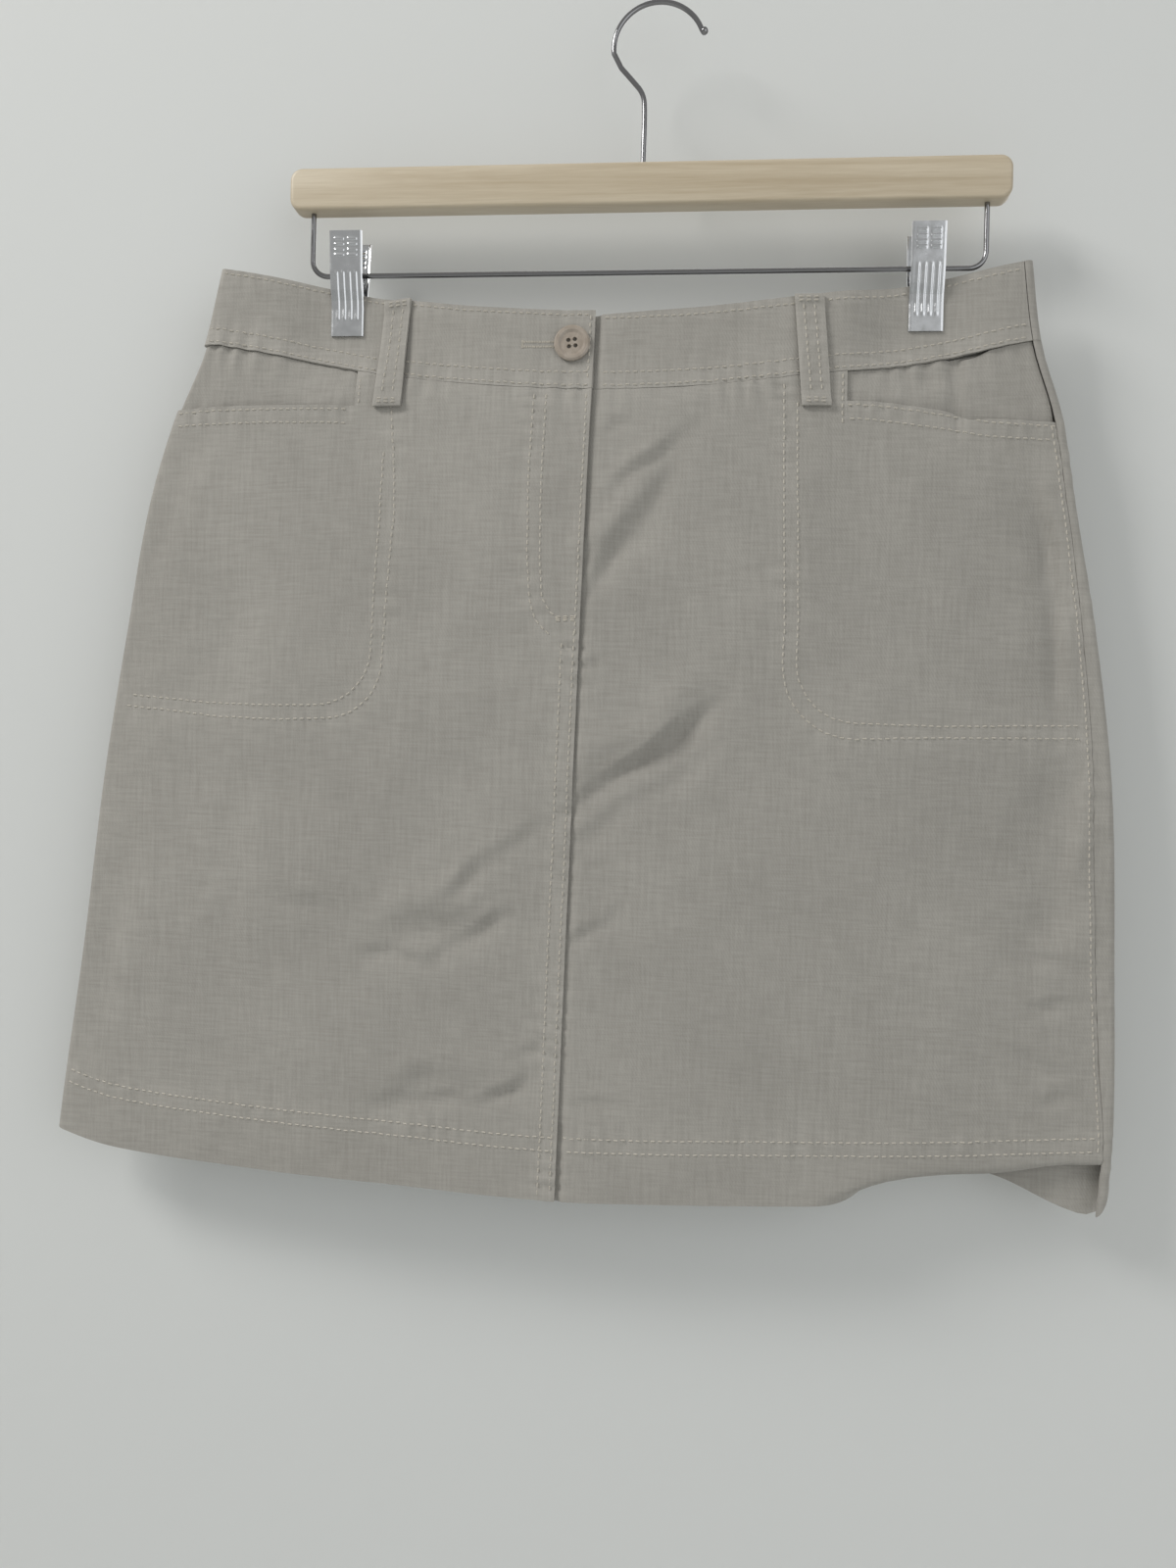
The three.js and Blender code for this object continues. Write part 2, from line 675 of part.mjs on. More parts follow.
// The shorts hang between the skirt's faces and close towards their own edges.
function shortsHalf(x, z, towards) {
  const inset = Math.min(x - leftOutline(z), rightOutline(z) - x) - shorts.sideInset;
  const side = 1 - (1 - clamp01(inset / 45)) ** 2;
  const fromLeg = Math.abs(x - centreFront(z)) - legGap(z);
  const leg = 1 - (1 - clamp01(fromLeg / 35)) ** 2;
  const split = 1 - smooth(shorts.crotch, shorts.crotch + 40, z);
  const share = side * mix(1, leg, split);
  const hang = 3 * smooth(0, 110, panelTop(x) - z);
  const nearFly = 1 - smooth(24, 50, Math.abs(x - centreFront(z) + 15));
  const bag = smooth(0, 20, panelTop(x) - z) * smooth(bagFloor - 60, bagFloor + 20, z);
  const slack = pocketSlackDepth * bag * (1 - nearFly);
  const facing = 2 * (wall + layerGap) + 0.35 + slack + (wall + layerGap + 0.3) * nearFly;
  const room = towards === FRONT
    ? -frontY(x, z) - facing - hang + shorts.middle
    : backY(x, z) - wall - layerGap - hang - shorts.middle;
  return shorts.edge + Math.max(room - shorts.edge, 0) * share;
}

function legGap(z) {
  return halfGap + Math.max(shorts.crotch - z, 0) * shorts.legSpread;
}

function shortsPanel(towards, side) {
  const outline = side === "right" ? leftOutline : rightOutline;
  const inwards = side === "right" ? 1 : -1;
  const outer = (z) => outline(z) + inwards * (shorts.sideInset + 2);
  const inner = (z) => centreFront(z) - inwards * legGap(z);
  const face = (place) => (z) => {
    const x = place(z);
    return { x, y: shorts.middle + towards * shortsHalf(x, z, towards) };
  };
  const shares = [0, 0.06, 0.15, 0.3, 0.5, 0.7, 0.87, 1];
  const columns = shares.map((share) => face((z) => mix(outer(z), inner(z), share)));
  if (inwards !== -towards) columns.reverse();
  const top = rowsBetween((x) => panelTop(x) - 0.5, constant(shorts.crotch), 7);
  const leg = rowsBetween(constant(shorts.crotch), constant(shorts.hem), 3);
  return clothGeometry(gridOf(columns, [...top, ...leg.slice(1)]));
}

add("shorts_front_right", shortsPanel(FRONT, "right"), finish.lining);
add("shorts_front_left", shortsPanel(FRONT, "left"), finish.lining);
add("shorts_back_right", shortsPanel(BACK, "right"), finish.lining);
add("shorts_back_left", shortsPanel(BACK, "left"), finish.lining);

// ---------------------------------------------------------------- joins and cuts

function solidOf(geometry) {
  const bare = geometry.index ? geometry.toNonIndexed() : geometry.clone();
  bare.deleteAttribute("normal");
  bare.deleteAttribute("uv");
  const merged = mergeVertices(bare, 1e-4);
  return new wasm.Manifold(new wasm.Mesh({
    numProp: 3,
    vertProperties: new Float32Array(merged.attributes.position.array),
    triVerts: new Uint32Array(merged.index.array),
  }));
}

function geometryOf(solid) {
  const mesh = solid.getMesh();
  const geometry = new THREE.BufferGeometry();
  geometry.setAttribute("position", new THREE.BufferAttribute(mesh.vertProperties, 3));
  geometry.setIndex(new THREE.BufferAttribute(mesh.triVerts, 1));
  geometry.computeVertexNormals();
  return geometry;
}

// ---------------------------------------------------------------- button

function buttonGeometry() {
  const half = button.thickness / 2;
  const profile = [
    new THREE.Vector2(0, -half),
    new THREE.Vector2(button.radius - 1.2, -half),
    new THREE.Vector2(button.radius, -half + 0.8),
    new THREE.Vector2(button.radius, half - 0.7),
    new THREE.Vector2(button.radius - 0.9, half),
    new THREE.Vector2(button.radius - 2.2, half),
    new THREE.Vector2(button.radius - 3.4, half - 0.8),
    new THREE.Vector2(0, half - 0.8),
  ];
  let solid = solidOf(new THREE.LatheGeometry(profile, 28));
  for (const [across, up] of [[1, 1], [1, -1], [-1, -1], [-1, 1]]) {
    const hole = new THREE.CylinderGeometry(button.hole, button.hole, button.thickness * 3, 10);
    hole.translate((across * button.holeSpacing) / 2, 0, (up * button.holeSpacing) / 2);
    solid = solid.subtract(solidOf(hole));
  }
  return geometryOf(solid);
}

const buttonSeat = new THREE.Vector3(button.x, frontY(button.x, button.z), button.z);
const step = 5;
const acrossBand = new THREE.Vector3(
  2 * step, frontY(button.x + step, button.z) - frontY(button.x - step, button.z), 0);
const upBand = new THREE.Vector3(
  0, frontY(button.x, button.z + step) - frontY(button.x, button.z - step), 2 * step);
const buttonOut = acrossBand.cross(upBand).normalize();
const fastened = add("button", buttonGeometry(), finish.button);
fastened.quaternion.setFromUnitVectors(new THREE.Vector3(0, 1, 0), buttonOut);
fastened.position.copy(buttonSeat)
  .addScaledVector(buttonOut, seamGap + 0.1 + button.thickness / 2);

// ---------------------------------------------------------------- hanger

function wireGeometry(points, steps) {
  const section = new THREE.Shape();
  section.absarc(0, 0, wire / 2, 0, Math.PI * 2, false);
  const path = new THREE.CatmullRomCurve3(points, false, "centripetal");
  return new THREE.ExtrudeGeometry(section, {
    steps, curveSegments: 4, bevelEnabled: false, extrudePath: path,
  });
}

const barBottom = bar.top - bar.height;
const shankFoot = bar.top - socketDepth;

function hookGeometry() {
  const points = [
    new THREE.Vector3(bar.centre - 0.6, 0, shankFoot),
    new THREE.Vector3(bar.centre - 0.4, 0, bar.top),
    new THREE.Vector3(bar.centre, 0, -50),
    new THREE.Vector3(bar.centre - 1.3, 0, -43.5),
    new THREE.Vector3(bar.centre - 6.5, 0, -37.4),
    new THREE.Vector3(bar.centre - 12.5, 0, -30.6),
  ];
  const arcSteps = 12;
  for (let n = 0; n <= arcSteps; n += 1) {
    const turn = THREE.MathUtils.degToRad(mix(187, 21, n / arcSteps));
    points.push(new THREE.Vector3(
      crook.x + crook.radius * Math.cos(turn), 0, crook.z + crook.radius * Math.sin(turn)));
  }
  const tip = points[points.length - 1];
  tip.x += 1.8;
  const ball = new THREE.SphereGeometry(1.95, 12, 8);
  ball.translate(tip.x, tip.y, tip.z);
  return geometryOf(solidOf(wireGeometry(points, 36)).add(solidOf(ball)));
}

function rodGeometry() {
  const half = rod.halfSpan;
  const foot = barBottom + socketDepth;
  const lead = 6; // straight wire on each side of a corner
  const cornerPoint = (side, degrees) => {
    const turn = THREE.MathUtils.degToRad(degrees);
    return new THREE.Vector3(
      bar.centre + side * (half - rod.corner + rod.corner * Math.sin(turn)),
      0,
      rod.z + rod.corner - rod.corner * Math.cos(turn));
  };
  const arm = (side) => [
    new THREE.Vector3(bar.centre + side * half, 0, foot),
    new THREE.Vector3(bar.centre + side * half, 0, rod.z + rod.corner + lead),
    ...[90, 67.5, 45, 22.5, 0].map((degrees) => cornerPoint(side, degrees)),
    new THREE.Vector3(bar.centre + side * (half - rod.corner - lead), 0, rod.z),
    new THREE.Vector3(bar.centre + side * (half - rod.corner - 3 * lead), 0, rod.z),
  ];
  return wireGeometry([...arm(-1), ...arm(1).reverse()], 48);
}

function socket(x, from, to) {
  const length = Math.abs(to - from) + 1;
  const hole = new THREE.CylinderGeometry(wire / 2 + seamGap, wire / 2 + seamGap, length, 16);
  hole.rotateX(Math.PI / 2);
  hole.translate(x, 0, (from + to) / 2);
  return solidOf(hole);
}

function barGeometry() {
  const halfLength = bar.length / 2 - bar.bevel;
  const halfHeight = bar.height / 2 - bar.bevel;
  const corner = bar.corner - bar.bevel;
  const outline = new THREE.Shape();
  outline.moveTo(-halfLength + corner, -halfHeight);
  outline.lineTo(halfLength - corner, -halfHeight);
  outline.absarc(halfLength - corner, -halfHeight + corner, corner, -Math.PI / 2, 0, false);
  outline.absarc(halfLength - corner, halfHeight - corner, corner, 0, Math.PI / 2, false);
  outline.absarc(-halfLength + corner, halfHeight - corner, corner, Math.PI / 2, Math.PI, false);
  outline.absarc(-halfLength + corner, -halfHeight + corner, corner, Math.PI, 1.5 * Math.PI, false);
  const depth = bar.depth - 2 * bar.bevel;
  const body = new THREE.ExtrudeGeometry(outline, {
    depth, curveSegments: 4, bevelThickness: bar.bevel, bevelSize: bar.bevel, bevelSegments: 2,
  });
  body.translate(0, 0, -depth / 2);
  body.rotateX(Math.PI / 2);
  body.translate(bar.centre, 0, bar.top - bar.height / 2);
  const overshoot = 3;
  const floor = socketDepth + seamGap;
  return geometryOf(solidOf(body)
    .subtract(socket(bar.centre - 0.5, bar.top - floor, bar.top + overshoot))
    .subtract(socket(bar.centre - rod.halfSpan, barBottom - overshoot, barBottom + floor))
    .subtract(socket(bar.centre + rod.halfSpan, barBottom - overshoot, barBottom + floor)));
}

// A clip is two bent plates on a spring round the rod, their jaws closed on the cloth.
function clipPlate(place, towards) {
  const jaw = jawHalf + seamGap + 0.05;
  const edge = [
    { y: clipHandle, z: clip.top },
    { y: clipPivotHalf, z: clip.pivot },
    { y: jaw + 0.6, z: clip.grip + 4 },
    { y: jaw, z: clip.grip },
    { y: jaw, z: clip.bottom },
  ];
  const shape = new THREE.Shape();
  edge.forEach((point, n) => {
    if (n === 0) shape.moveTo(point.y, point.z);
    else shape.lineTo(point.y, point.z);
  });
  [...edge].reverse().forEach((point) => shape.lineTo(point.y + clip.plate, point.z));
  const plate = new THREE.ExtrudeGeometry(shape, { depth: clip.width, bevelEnabled: false });
  plate.translate(0, 0, -clip.width / 2);
  plate.rotateX(Math.PI / 2);
  plate.rotateZ((towards * Math.PI) / 2);
  plate.translate(place, 0, 0);
  return plate;
}

// The spring's coil is one smooth barrel round the rod.
function springGeometry(place) {
  const inner = wire / 2 + seamGap;
  const outer = clipPivotHalf - seamGap - 0.3;
  const half = clip.width / 2 - 3;
  const profile = [
    new THREE.Vector2(inner, -half),
    new THREE.Vector2(outer, -half),
    new THREE.Vector2(outer, half),
    new THREE.Vector2(inner, half),
    new THREE.Vector2(inner, -half),
  ];
  const barrel = new THREE.LatheGeometry(profile, 20);
  barrel.rotateZ(Math.PI / 2);
  barrel.translate(place, 0, rod.z);
  return barrel;
}

add("hanger_bar", barGeometry(), finish.wood);
add("hanger_hook", hookGeometry(), finish.chrome);
add("hanger_rod", rodGeometry(), finish.chrome);
for (const [side, place] of Object.entries(clipPlaces)) {
  add(`clip_${side}_front_plate`, clipPlate(place, FRONT), finish.chrome);
  add(`clip_${side}_back_plate`, clipPlate(place, BACK), finish.chrome);
  add(`clip_${side}_spring`, springGeometry(place), finish.chrome);
}

export default skort;
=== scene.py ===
"""Looks of a khaki cotton skort that hangs from a wooden clip hanger.

The cloth is a flattened tube, as in the solid model: each piece is a fine grid of columns
and rows laid on it, given the thickness of the cloth. Lengths in the functions are
millimetres, and meshes are written in metres.
"""
import json
import math

import bpy
import numpy as np
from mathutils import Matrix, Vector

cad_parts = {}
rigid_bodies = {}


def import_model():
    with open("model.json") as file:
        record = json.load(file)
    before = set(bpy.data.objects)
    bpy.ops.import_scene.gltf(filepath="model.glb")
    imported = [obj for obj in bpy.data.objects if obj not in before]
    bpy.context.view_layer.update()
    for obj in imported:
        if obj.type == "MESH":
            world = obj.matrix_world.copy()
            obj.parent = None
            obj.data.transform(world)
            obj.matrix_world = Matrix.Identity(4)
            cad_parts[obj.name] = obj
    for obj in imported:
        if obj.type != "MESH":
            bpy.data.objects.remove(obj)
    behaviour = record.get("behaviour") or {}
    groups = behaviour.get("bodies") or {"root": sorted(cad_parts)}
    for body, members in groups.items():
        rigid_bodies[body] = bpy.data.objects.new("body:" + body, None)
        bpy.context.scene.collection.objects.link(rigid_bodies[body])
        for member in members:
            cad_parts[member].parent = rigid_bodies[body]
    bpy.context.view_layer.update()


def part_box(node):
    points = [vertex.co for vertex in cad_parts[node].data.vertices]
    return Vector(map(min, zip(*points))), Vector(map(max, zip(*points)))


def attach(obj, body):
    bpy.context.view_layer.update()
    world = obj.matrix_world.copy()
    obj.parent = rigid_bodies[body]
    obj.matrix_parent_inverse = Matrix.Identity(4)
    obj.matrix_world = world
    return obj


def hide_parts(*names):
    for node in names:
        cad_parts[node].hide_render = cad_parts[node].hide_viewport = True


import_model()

bl_info = {
    "name": "Khaki skort on a clip hanger",
    "version": (1, 0, 0),
    "blender": (4, 5, 0),
    "location": "View3D > Sidebar > Skort",
    "description": "Builds the cloth, stitching, hanger and stage of a hanging skort",
    "category": "Add Mesh",
}

MM = 0.001

# ------------------------------------------------------------------ the garment's own sizes

SECTIONS = {  # outline and swell of the tube, from the hem up
    "z": [-588, -545, -475, -385, -310, -250, -205, -170, -128],
    "left": [-299, -294.5, -286, -276.7, -266, -256.5, -244, -230, -220.5],
    "right": [226, 228.5, 227.5, 224.5, 215.5, 205, 197.5, 187, 181.5],
    "front": [14, 14.5, 16, 18, 19, 17.5, 15, 12, 10],
    "back": [12, 12.5, 13, 13, 13, 12, 11, 9.5, 8],
}
WAIST = {
    "x": [-222, -166, -121, -75, -28, 20, 67, 119, 183],
    "z": [-128.5, -139, -148, -152.8, -154.8, -153.4, -148.5, -142.2, -129.5],
}
FRONT_HEM = {
    "x": [-300, -265, -200, -120, -35, 60, 135, 230],
    "z": [-566, -575.5, -581.5, -586, -590, -587.5, -585, -580],
}
BACK_HEM = {
    "x": [-300, -200, -60, 60, 140, 175, 206, 221, 229],
    "z": [-566, -577, -580, -577, -567, -572, -585, -587, -575],
}
HEM_FLIP = {  # the front hem flips under near the left side seam
    "x": [-300, 80, 100, 120, 145, 175, 198, 212, 230],
    "straight": [30, 30, 24, 17, 13.5, 13, 10.5, 10, 12],
    "turn": [0, 0, 40, 110, 170, 172, 165, 60, 0],
    "length": [31, 31, 31, 31, 31, 31, 24, 14, 13],
}
SEAM_INSET = {
    "z": [-588, -551, -513, -422, -346, -294, -254, -128],
    "inset": [5.5, 5.5, 8.3, 10.9, 8.4, 6.6, 5, 4.8],
}
RIGHT_MOUTH = {"x": [-260, -210, -148, -25], "z": [-201.5, -199.8, -200.8, -203]}
LEFT_MOUTH = {"x": [-45, 94, 140, 165, 230], "z": [-203, -199.5, -204, -207.5, -207.8]}

# Creases of the front: ends, half width, depth (inwards) and the lip thrown up beside it.
CREASES = [
    # x1, z1, x2, z2, width, depth, lip
    (184, -232, 199, -352, 11, 2.6, 0.4),
    (202, -368, 184, -470, 13, 3.0, 0.5),
    (-33, -401, 40, -343, 10, 2.6, 0.6),
    (-26, -292, 26, -208, 9, 1.8, 0.5),
    (-136, -470, -58, -455, 10, 2.0, 0.5),
    (-193, -249, -250, -410, 22, 1.6, 0.2),
    (-129, -546, -49, -534, 9, 1.4, 0.5),
    (-33, -399, 38, -343, 3.2, 1.5, 0.9),
    (-20, -384, 10, -366, 2.4, 0.9, 0.8),
    (-34, -421, 40, -363, 5, 1.1, 0.7),
    (-99, -446, -47, -408, 4.5, 1.3, 0.7),
    (-136, -471, -104, -476, 3.6, 1.1, 0.8),
    (-106, -476, -58, -450, 3.8, 1.2, 0.8),
    (-33, -465, -8, -446, 3.4, 1.0, 0.8),
    (-131, -545, -80, -544, 3.6, 1.0, 0.8),
    (-82, -546, -47, -530, 3.4, 1.2, 0.8),
    (-58, -521, -44, -512, 3, 0.9, 0.7),
    (-37, -541, -4, -543, 3, 0.7, 0.7),
    (-190, -448, -146, -449, 6, 0.7, 0.6),
    (-22, -250, 24, -209, 3.4, 1.1, 0.8),
    (-29, -296, 12, -232, 4, 1.1, 0.8),
    (-24, -214, -8, -210, 2.6, 0.7, 0.8),
    (-28, -332, -22, -324, 2.6, 0.8, 0.7),
    (184, -234, 193, -292, 4, 1.2, 0.9),
    (192, -285, 199, -354, 4, 1.4, 0.9),
    (205, -372, 202, -432, 4, 1.2, 0.8),
    (182, -460, 210, -472, 4, 0.9, 0.7),
    (186, -492, 213, -484, 4, 0.9, 0.7),
    (180, -512, 206, -522, 4.5, 0.9, 0.7),
    (190, -534, 214, -530, 3.6, 0.8, 0.7),
    (-200, -390, -212, -490, 9, 0.8, 0.4),
    (-258, -420, -277, -512, 8, 0.8, 0.5),
    (108, -188, 150, -186, 4.5, 0.9, 0.7),
    (-235, -215, -262, -300, 9, 0.7, 0.4),
    (60, -470, 150, -500, 16, 0.6, 0.3),
    (20, -300, 60, -420, 18, 0.6, 0.3),
    (-100, -260, -60, -380, 16, 0.6, 0.3),
    (90, -240, 140, -330, 15, 0.6, 0.3),
]
BACK_CREASES = [
    (150, -260, 190, -420, 14, 1.6, 0.4),
    (-60, -330, 70, -410, 9, 1.3, 0.6),
    (-230, -300, -180, -450, 16, 1.4, 0.3),
    (-20, -480, 80, -455, 7, 1.1, 0.6),
    (-150, -520, -70, -500, 6, 0.9, 0.6),
    (100, -530, 160, -510, 6, 0.9, 0.6),
    (-30, -240, 40, -300, 7, 0.9, 0.5),
]
CLIPS = {"right": -154.4, "left": 131.5}
FOLD_RADIUS = 4.0
BAND_HEIGHT = 39.0
HEM_DEPTH = 31.0
BAG_FLOOR = -360.0
FOLD_STRENGTH = 1.45
CLOTH = 0.8  # thickness of one layer
LAYER = 1.4  # from one layer to the next, as in the solid model
ROD_Z = -132.5
JAW_BOTTOM = -163.6


def smooth(a, b, value):
    t = np.clip((value - a) / (b - a), 0, 1)
    return t * t * (3 - 2 * t)


def mix(a, b, t):
    return a + (b - a) * t


def along(table, key, column, value):
    """A smooth curve through one column of a table."""
    k = np.asarray(table[key], float)
    v = np.asarray(table[column], float)
    at = np.clip(np.asarray(value, float), k[0], k[-1])
    slope = np.empty_like(v)
    slope[1:-1] = (v[2:] - v[:-2]) / (k[2:] - k[:-2])
    slope[0] = (v[1] - v[0]) / (k[1] - k[0])
    slope[-1] = (v[-1] - v[-2]) / (k[-1] - k[-2])
    i = np.clip(np.searchsorted(k, at, side="right") - 1, 0, len(k) - 2)
    span = k[i + 1] - k[i]
    t = (at - k[i]) / span
    rise = t * t * (3 - 2 * t)
    bend = t * (1 - t) ** 2 * span * slope[i] - t * t * (1 - t) * span * slope[i + 1]
    return mix(v[i], v[i + 1], rise) + bend


def left_outline(z):
    return along(SECTIONS, "z", "left", z)


def right_outline(z):
    return along(SECTIONS, "z", "right", z)


def waist(x):
    return along(WAIST, "x", "z", x)


def band_seam(x):
    return waist(x) - BAND_HEIGHT


def panel_top(x):
    return band_seam(x) - 0.2


def front_hem(x):
    return along(FRONT_HEM, "x", "z", x)


def back_hem(x):
    return along(BACK_HEM, "x", "z", x)


def centre_front(z):
    return -28 + 0.0238 * (z + 155)


def right_mouth(x):
    return along(RIGHT_MOUTH, "x", "z", x)


def left_mouth(x):
    return along(LEFT_MOUTH, "x", "z", x)


def swell(x, z, face):
    left, right = left_outline(z), right_outline(z)
    inset = np.maximum(np.minimum(x - left, right - x), 0)
    near = np.sqrt(np.maximum(FOLD_RADIUS**2 - (FOLD_RADIUS - np.minimum(inset, FOLD_RADIUS)) ** 2, 0))
    t = np.clip((inset - FOLD_RADIUS) / ((right - left) / 2 - FOLD_RADIUS), 0, 1)
    full = along(SECTIONS, "z", face, z)
    far = FOLD_RADIUS + (full - FOLD_RADIUS) * (1 - (1 - t) ** 2.2)
    return np.where(inset < FOLD_RADIUS, near, far)


def pinch(x, z):
    height = 1 - smooth(0, 34, JAW_BOTTOM - z)
    near = [1 - smooth(9.7, 42, np.abs(x - place)) for place in CLIPS.values()]
    return height * np.maximum(*near)


def crease_depth(x, z, creases):
    inset = np.minimum(x - left_outline(z), right_outline(z) - x)
    fade = smooth(FOLD_RADIUS, 16, inset) * smooth(0, 12, panel_top(x) - z)
    total = np.zeros(np.broadcast(x, z).shape)
    for x1, z1, x2, z2, width, depth, lip in creases:
        run = math.hypot(x2 - x1, z2 - z1)
        dx, dz = (x2 - x1) / run, (z2 - z1) / run
        t = ((x - x1) * dx + (z - z1) * dz) / run
        wander = 0.35 * np.sin(t * 5.1 + x1) + 0.2 * np.sin(t * 11.3 + z1)
        off = (-(x - x1) * dz + (z - z1) * dx) / width + wander
        uneven = 0.8 + 0.3 * np.sin(t * 7.3 + z2)
        ends = smooth(-0.15, 0.3, t) * (1 - smooth(0.6, 1.15, t)) * uneven
        total = total + FOLD_STRENGTH * depth * ends * (np.exp(-off * off) - lip * np.exp(-1.5 * (off - 1.5) ** 2))
    return total * fade


def rumple(x, z):
    """Low uneven relief all over the washed cloth."""
    a = np.sin(x * 0.061 + 1.3 * np.sin(z * 0.023)) * np.sin(z * 0.047 + 1.1 * np.sin(x * 0.031))
    b = np.sin(x * 0.137 + 2.0 * np.sin(z * 0.051 + 1)) * np.sin(z * 0.113 + 1.7 * np.sin(x * 0.071))
    return 0.55 * a + 0.20 * b


def front_y(x, z):
    share = pinch(x, z)
    return -mix(swell(x, z, "front"), 1.75, share) + crease_depth(x, z, CREASES)


def back_y(x, z):
    return mix(swell(x, z, "back"), 1.75, pinch(x, z)) - crease_depth(x, z, BACK_CREASES)


# ------------------------------------------------------------------ grids and shells

def front_column(place):
    return lambda z: (place(z), front_y(place(z), z))


def back_column(place):
    return lambda z: (place(z), back_y(place(z), z))


def fold_column(side, towards, degrees):
    turn = math.radians(degrees)
    sign = -1 if side == "right" else 1
    outline = right_outline if side == "right" else left_outline

    def place(z):
        x = outline(z) + sign * FOLD_RADIUS * (1 - math.cos(turn))
        return x, np.full(np.shape(z), towards * FOLD_RADIUS * math.sin(turn))

    return place


def constant(value):
    return lambda other: np.full(np.shape(other), float(value))


def shift(place, by):
    return lambda z: place(z) + by


def between(start, end, count, skip_first=True):
    first = 1 if skip_first else 0
    return [
        (lambda z, t=n / count: mix(start(z), end(z), t)) for n in range(first, count + 1)
    ]


def fold_fan(side, first, last, step=15):
    """Columns round a side fold, from one face to the other."""
    turns = np.arange(first, last + (step if last > first else -step), step if last > first else -step)
    return [fold_column(side, -1 if t < 0 else 1, abs(float(t))) for t in turns]


def rows_between(start, end, count):
    return [(lambda x, t=n / count: mix(start(x), end(x), t)) for n in range(count + 1)]


def grid_of(columns, rows):
    """Points where the columns meet the rows, as an array of rows by columns by xyz."""
    grid = np.empty((len(rows), len(columns), 3))
    for j, column in enumerate(columns):
        z = np.full(len(rows), -350.0)
        x, y = column(z)
        for _ in range(5):
            z = np.array([float(row(x[i])) for i, row in enumerate(rows)])
            x, y = column(z)
        grid[:, j, 0], grid[:, j, 1], grid[:, j, 2] = x, y, z
    return grid


def grid_normals(grid):
    down = grid[1:, 1:] - grid[:-1, :-1]
    up = grid[:-1, 1:] - grid[1:, :-1]
    cell = np.cross(down, up)
    cell /= np.linalg.norm(cell, axis=2, keepdims=True) + 1e-12
    total = np.zeros_like(grid)
    for i in (0, 1):
        for j in (0, 1):
            total[i : i + cell.shape[0], j : j + cell.shape[1]] += cell
    return total / (np.linalg.norm(total, axis=2, keepdims=True) + 1e-12)


def new_mesh_object(name, vertices, faces, smooth_faces=True):
    mesh = bpy.data.meshes.new(name)
    mesh.from_pydata((np.asarray(vertices) * MM).tolist(), [], [list(f) for f in faces])
    mesh.update()
    if smooth_faces:
        mesh.shade_smooth()
    piece = bpy.data.objects.new(name, mesh)
    bpy.context.scene.collection.objects.link(piece)
    return piece


def shell(name, grid, outer=0.0, thickness=CLOTH, kept=None, fading_and_painted_highlight=None):
    """A closed wall of cloth over a grid, moved out and given its thickness."""
    rows, columns = grid.shape[:2]
    kept = np.ones((rows - 1, columns - 1), bool) if kept is None else kept
    normals = grid_normals(grid)
    lift = np.broadcast_to(np.asarray(outer, float), (rows, columns))[..., None]
    wall = np.broadcast_to(np.asarray(thickness, float), (rows, columns))[..., None]
    top = grid + normals * lift
    bottom = top - normals * wall
    used = np.zeros((rows, columns), bool)
    for i in (0, 1):
        for j in (0, 1):
            used[i : i + rows - 1, j : j + columns - 1] |= kept
    index = np.full((rows, columns), -1)
    index[used] = np.arange(used.sum())
    count = int(used.sum())
    a, b = index[:-1, :-1][kept], index[1:, :-1][kept]
    c, d = index[1:, 1:][kept], index[:-1, 1:][kept]
    faces = [np.stack([a, b, c, d], 1), np.stack([d, c, b, a], 1) + count]
    padded = np.pad(kept, 1)
    inner = padded[1:-1, 1:-1]

    def rim(missing, start, end):
        open_side = inner & ~missing
        p, q = start[open_side], end[open_side]
        faces.append(np.stack([q, p, p + count, q + count], 1))

    rim(padded[1:-1, :-2], index[:-1, :-1], index[1:, :-1])
    rim(padded[2:, 1:-1], index[1:, :-1], index[1:, 1:])
    rim(padded[1:-1, 2:], index[1:, 1:], index[:-1, 1:])
    rim(padded[:-2, 1:-1], index[:-1, 1:], index[:-1, :-1])
    points = np.concatenate([top[used], bottom[used]])
    piece = new_mesh_object(name, points, np.concatenate(faces).tolist())
    # Mask that lightens the cloth colour: seam fading, with painted highlight on the pucker crests.
    marks = np.zeros(2 * count) if fading_and_painted_highlight is None else np.tile(fading_and_painted_highlight[used], 2)
    layer = piece.data.attributes.new("fading_and_painted_highlight", "FLOAT", "POINT")
    layer.data.foreach_set("value", marks.astype(np.float32))
    select_only(piece)
    bpy.ops.object.shade_smooth_by_angle(angle=math.radians(50))
    return piece


def select_only(piece):
    bpy.ops.object.select_all(action="DESELECT")
    piece.select_set(True)
    bpy.context.view_layer.objects.active = piece


def settle(piece, slot, finish, *nodes):
    """The piece rides on the one body, takes its finish and stands for its solids."""
    piece.data.materials.clear()
    piece.data.materials.append(finish)
    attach(piece, "root")
    if nodes:
        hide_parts(*nodes)


# ------------------------------------------------------------------ seam relief

def distance_to(path, x, z):
    """Distance from points to a polyline, and the distance along it."""
    best = np.full(np.shape(x), 1e9)
    travel = np.zeros(np.shape(x))
    done = 0.0
    for (x1, z1), (x2, z2) in zip(path[:-1], path[1:]):
        run = math.hypot(x2 - x1, z2 - z1) + 1e-9
        t = np.clip(((x - x1) * (x2 - x1) + (z - z1) * (z2 - z1)) / run**2, 0, 1)
        away = np.hypot(x - mix(x1, x2, t), z - mix(z1, z2, t))
        closer = away < best
        best = np.where(closer, away, best)
        travel = np.where(closer, done + t * run, travel)
        done += run
    return best, travel


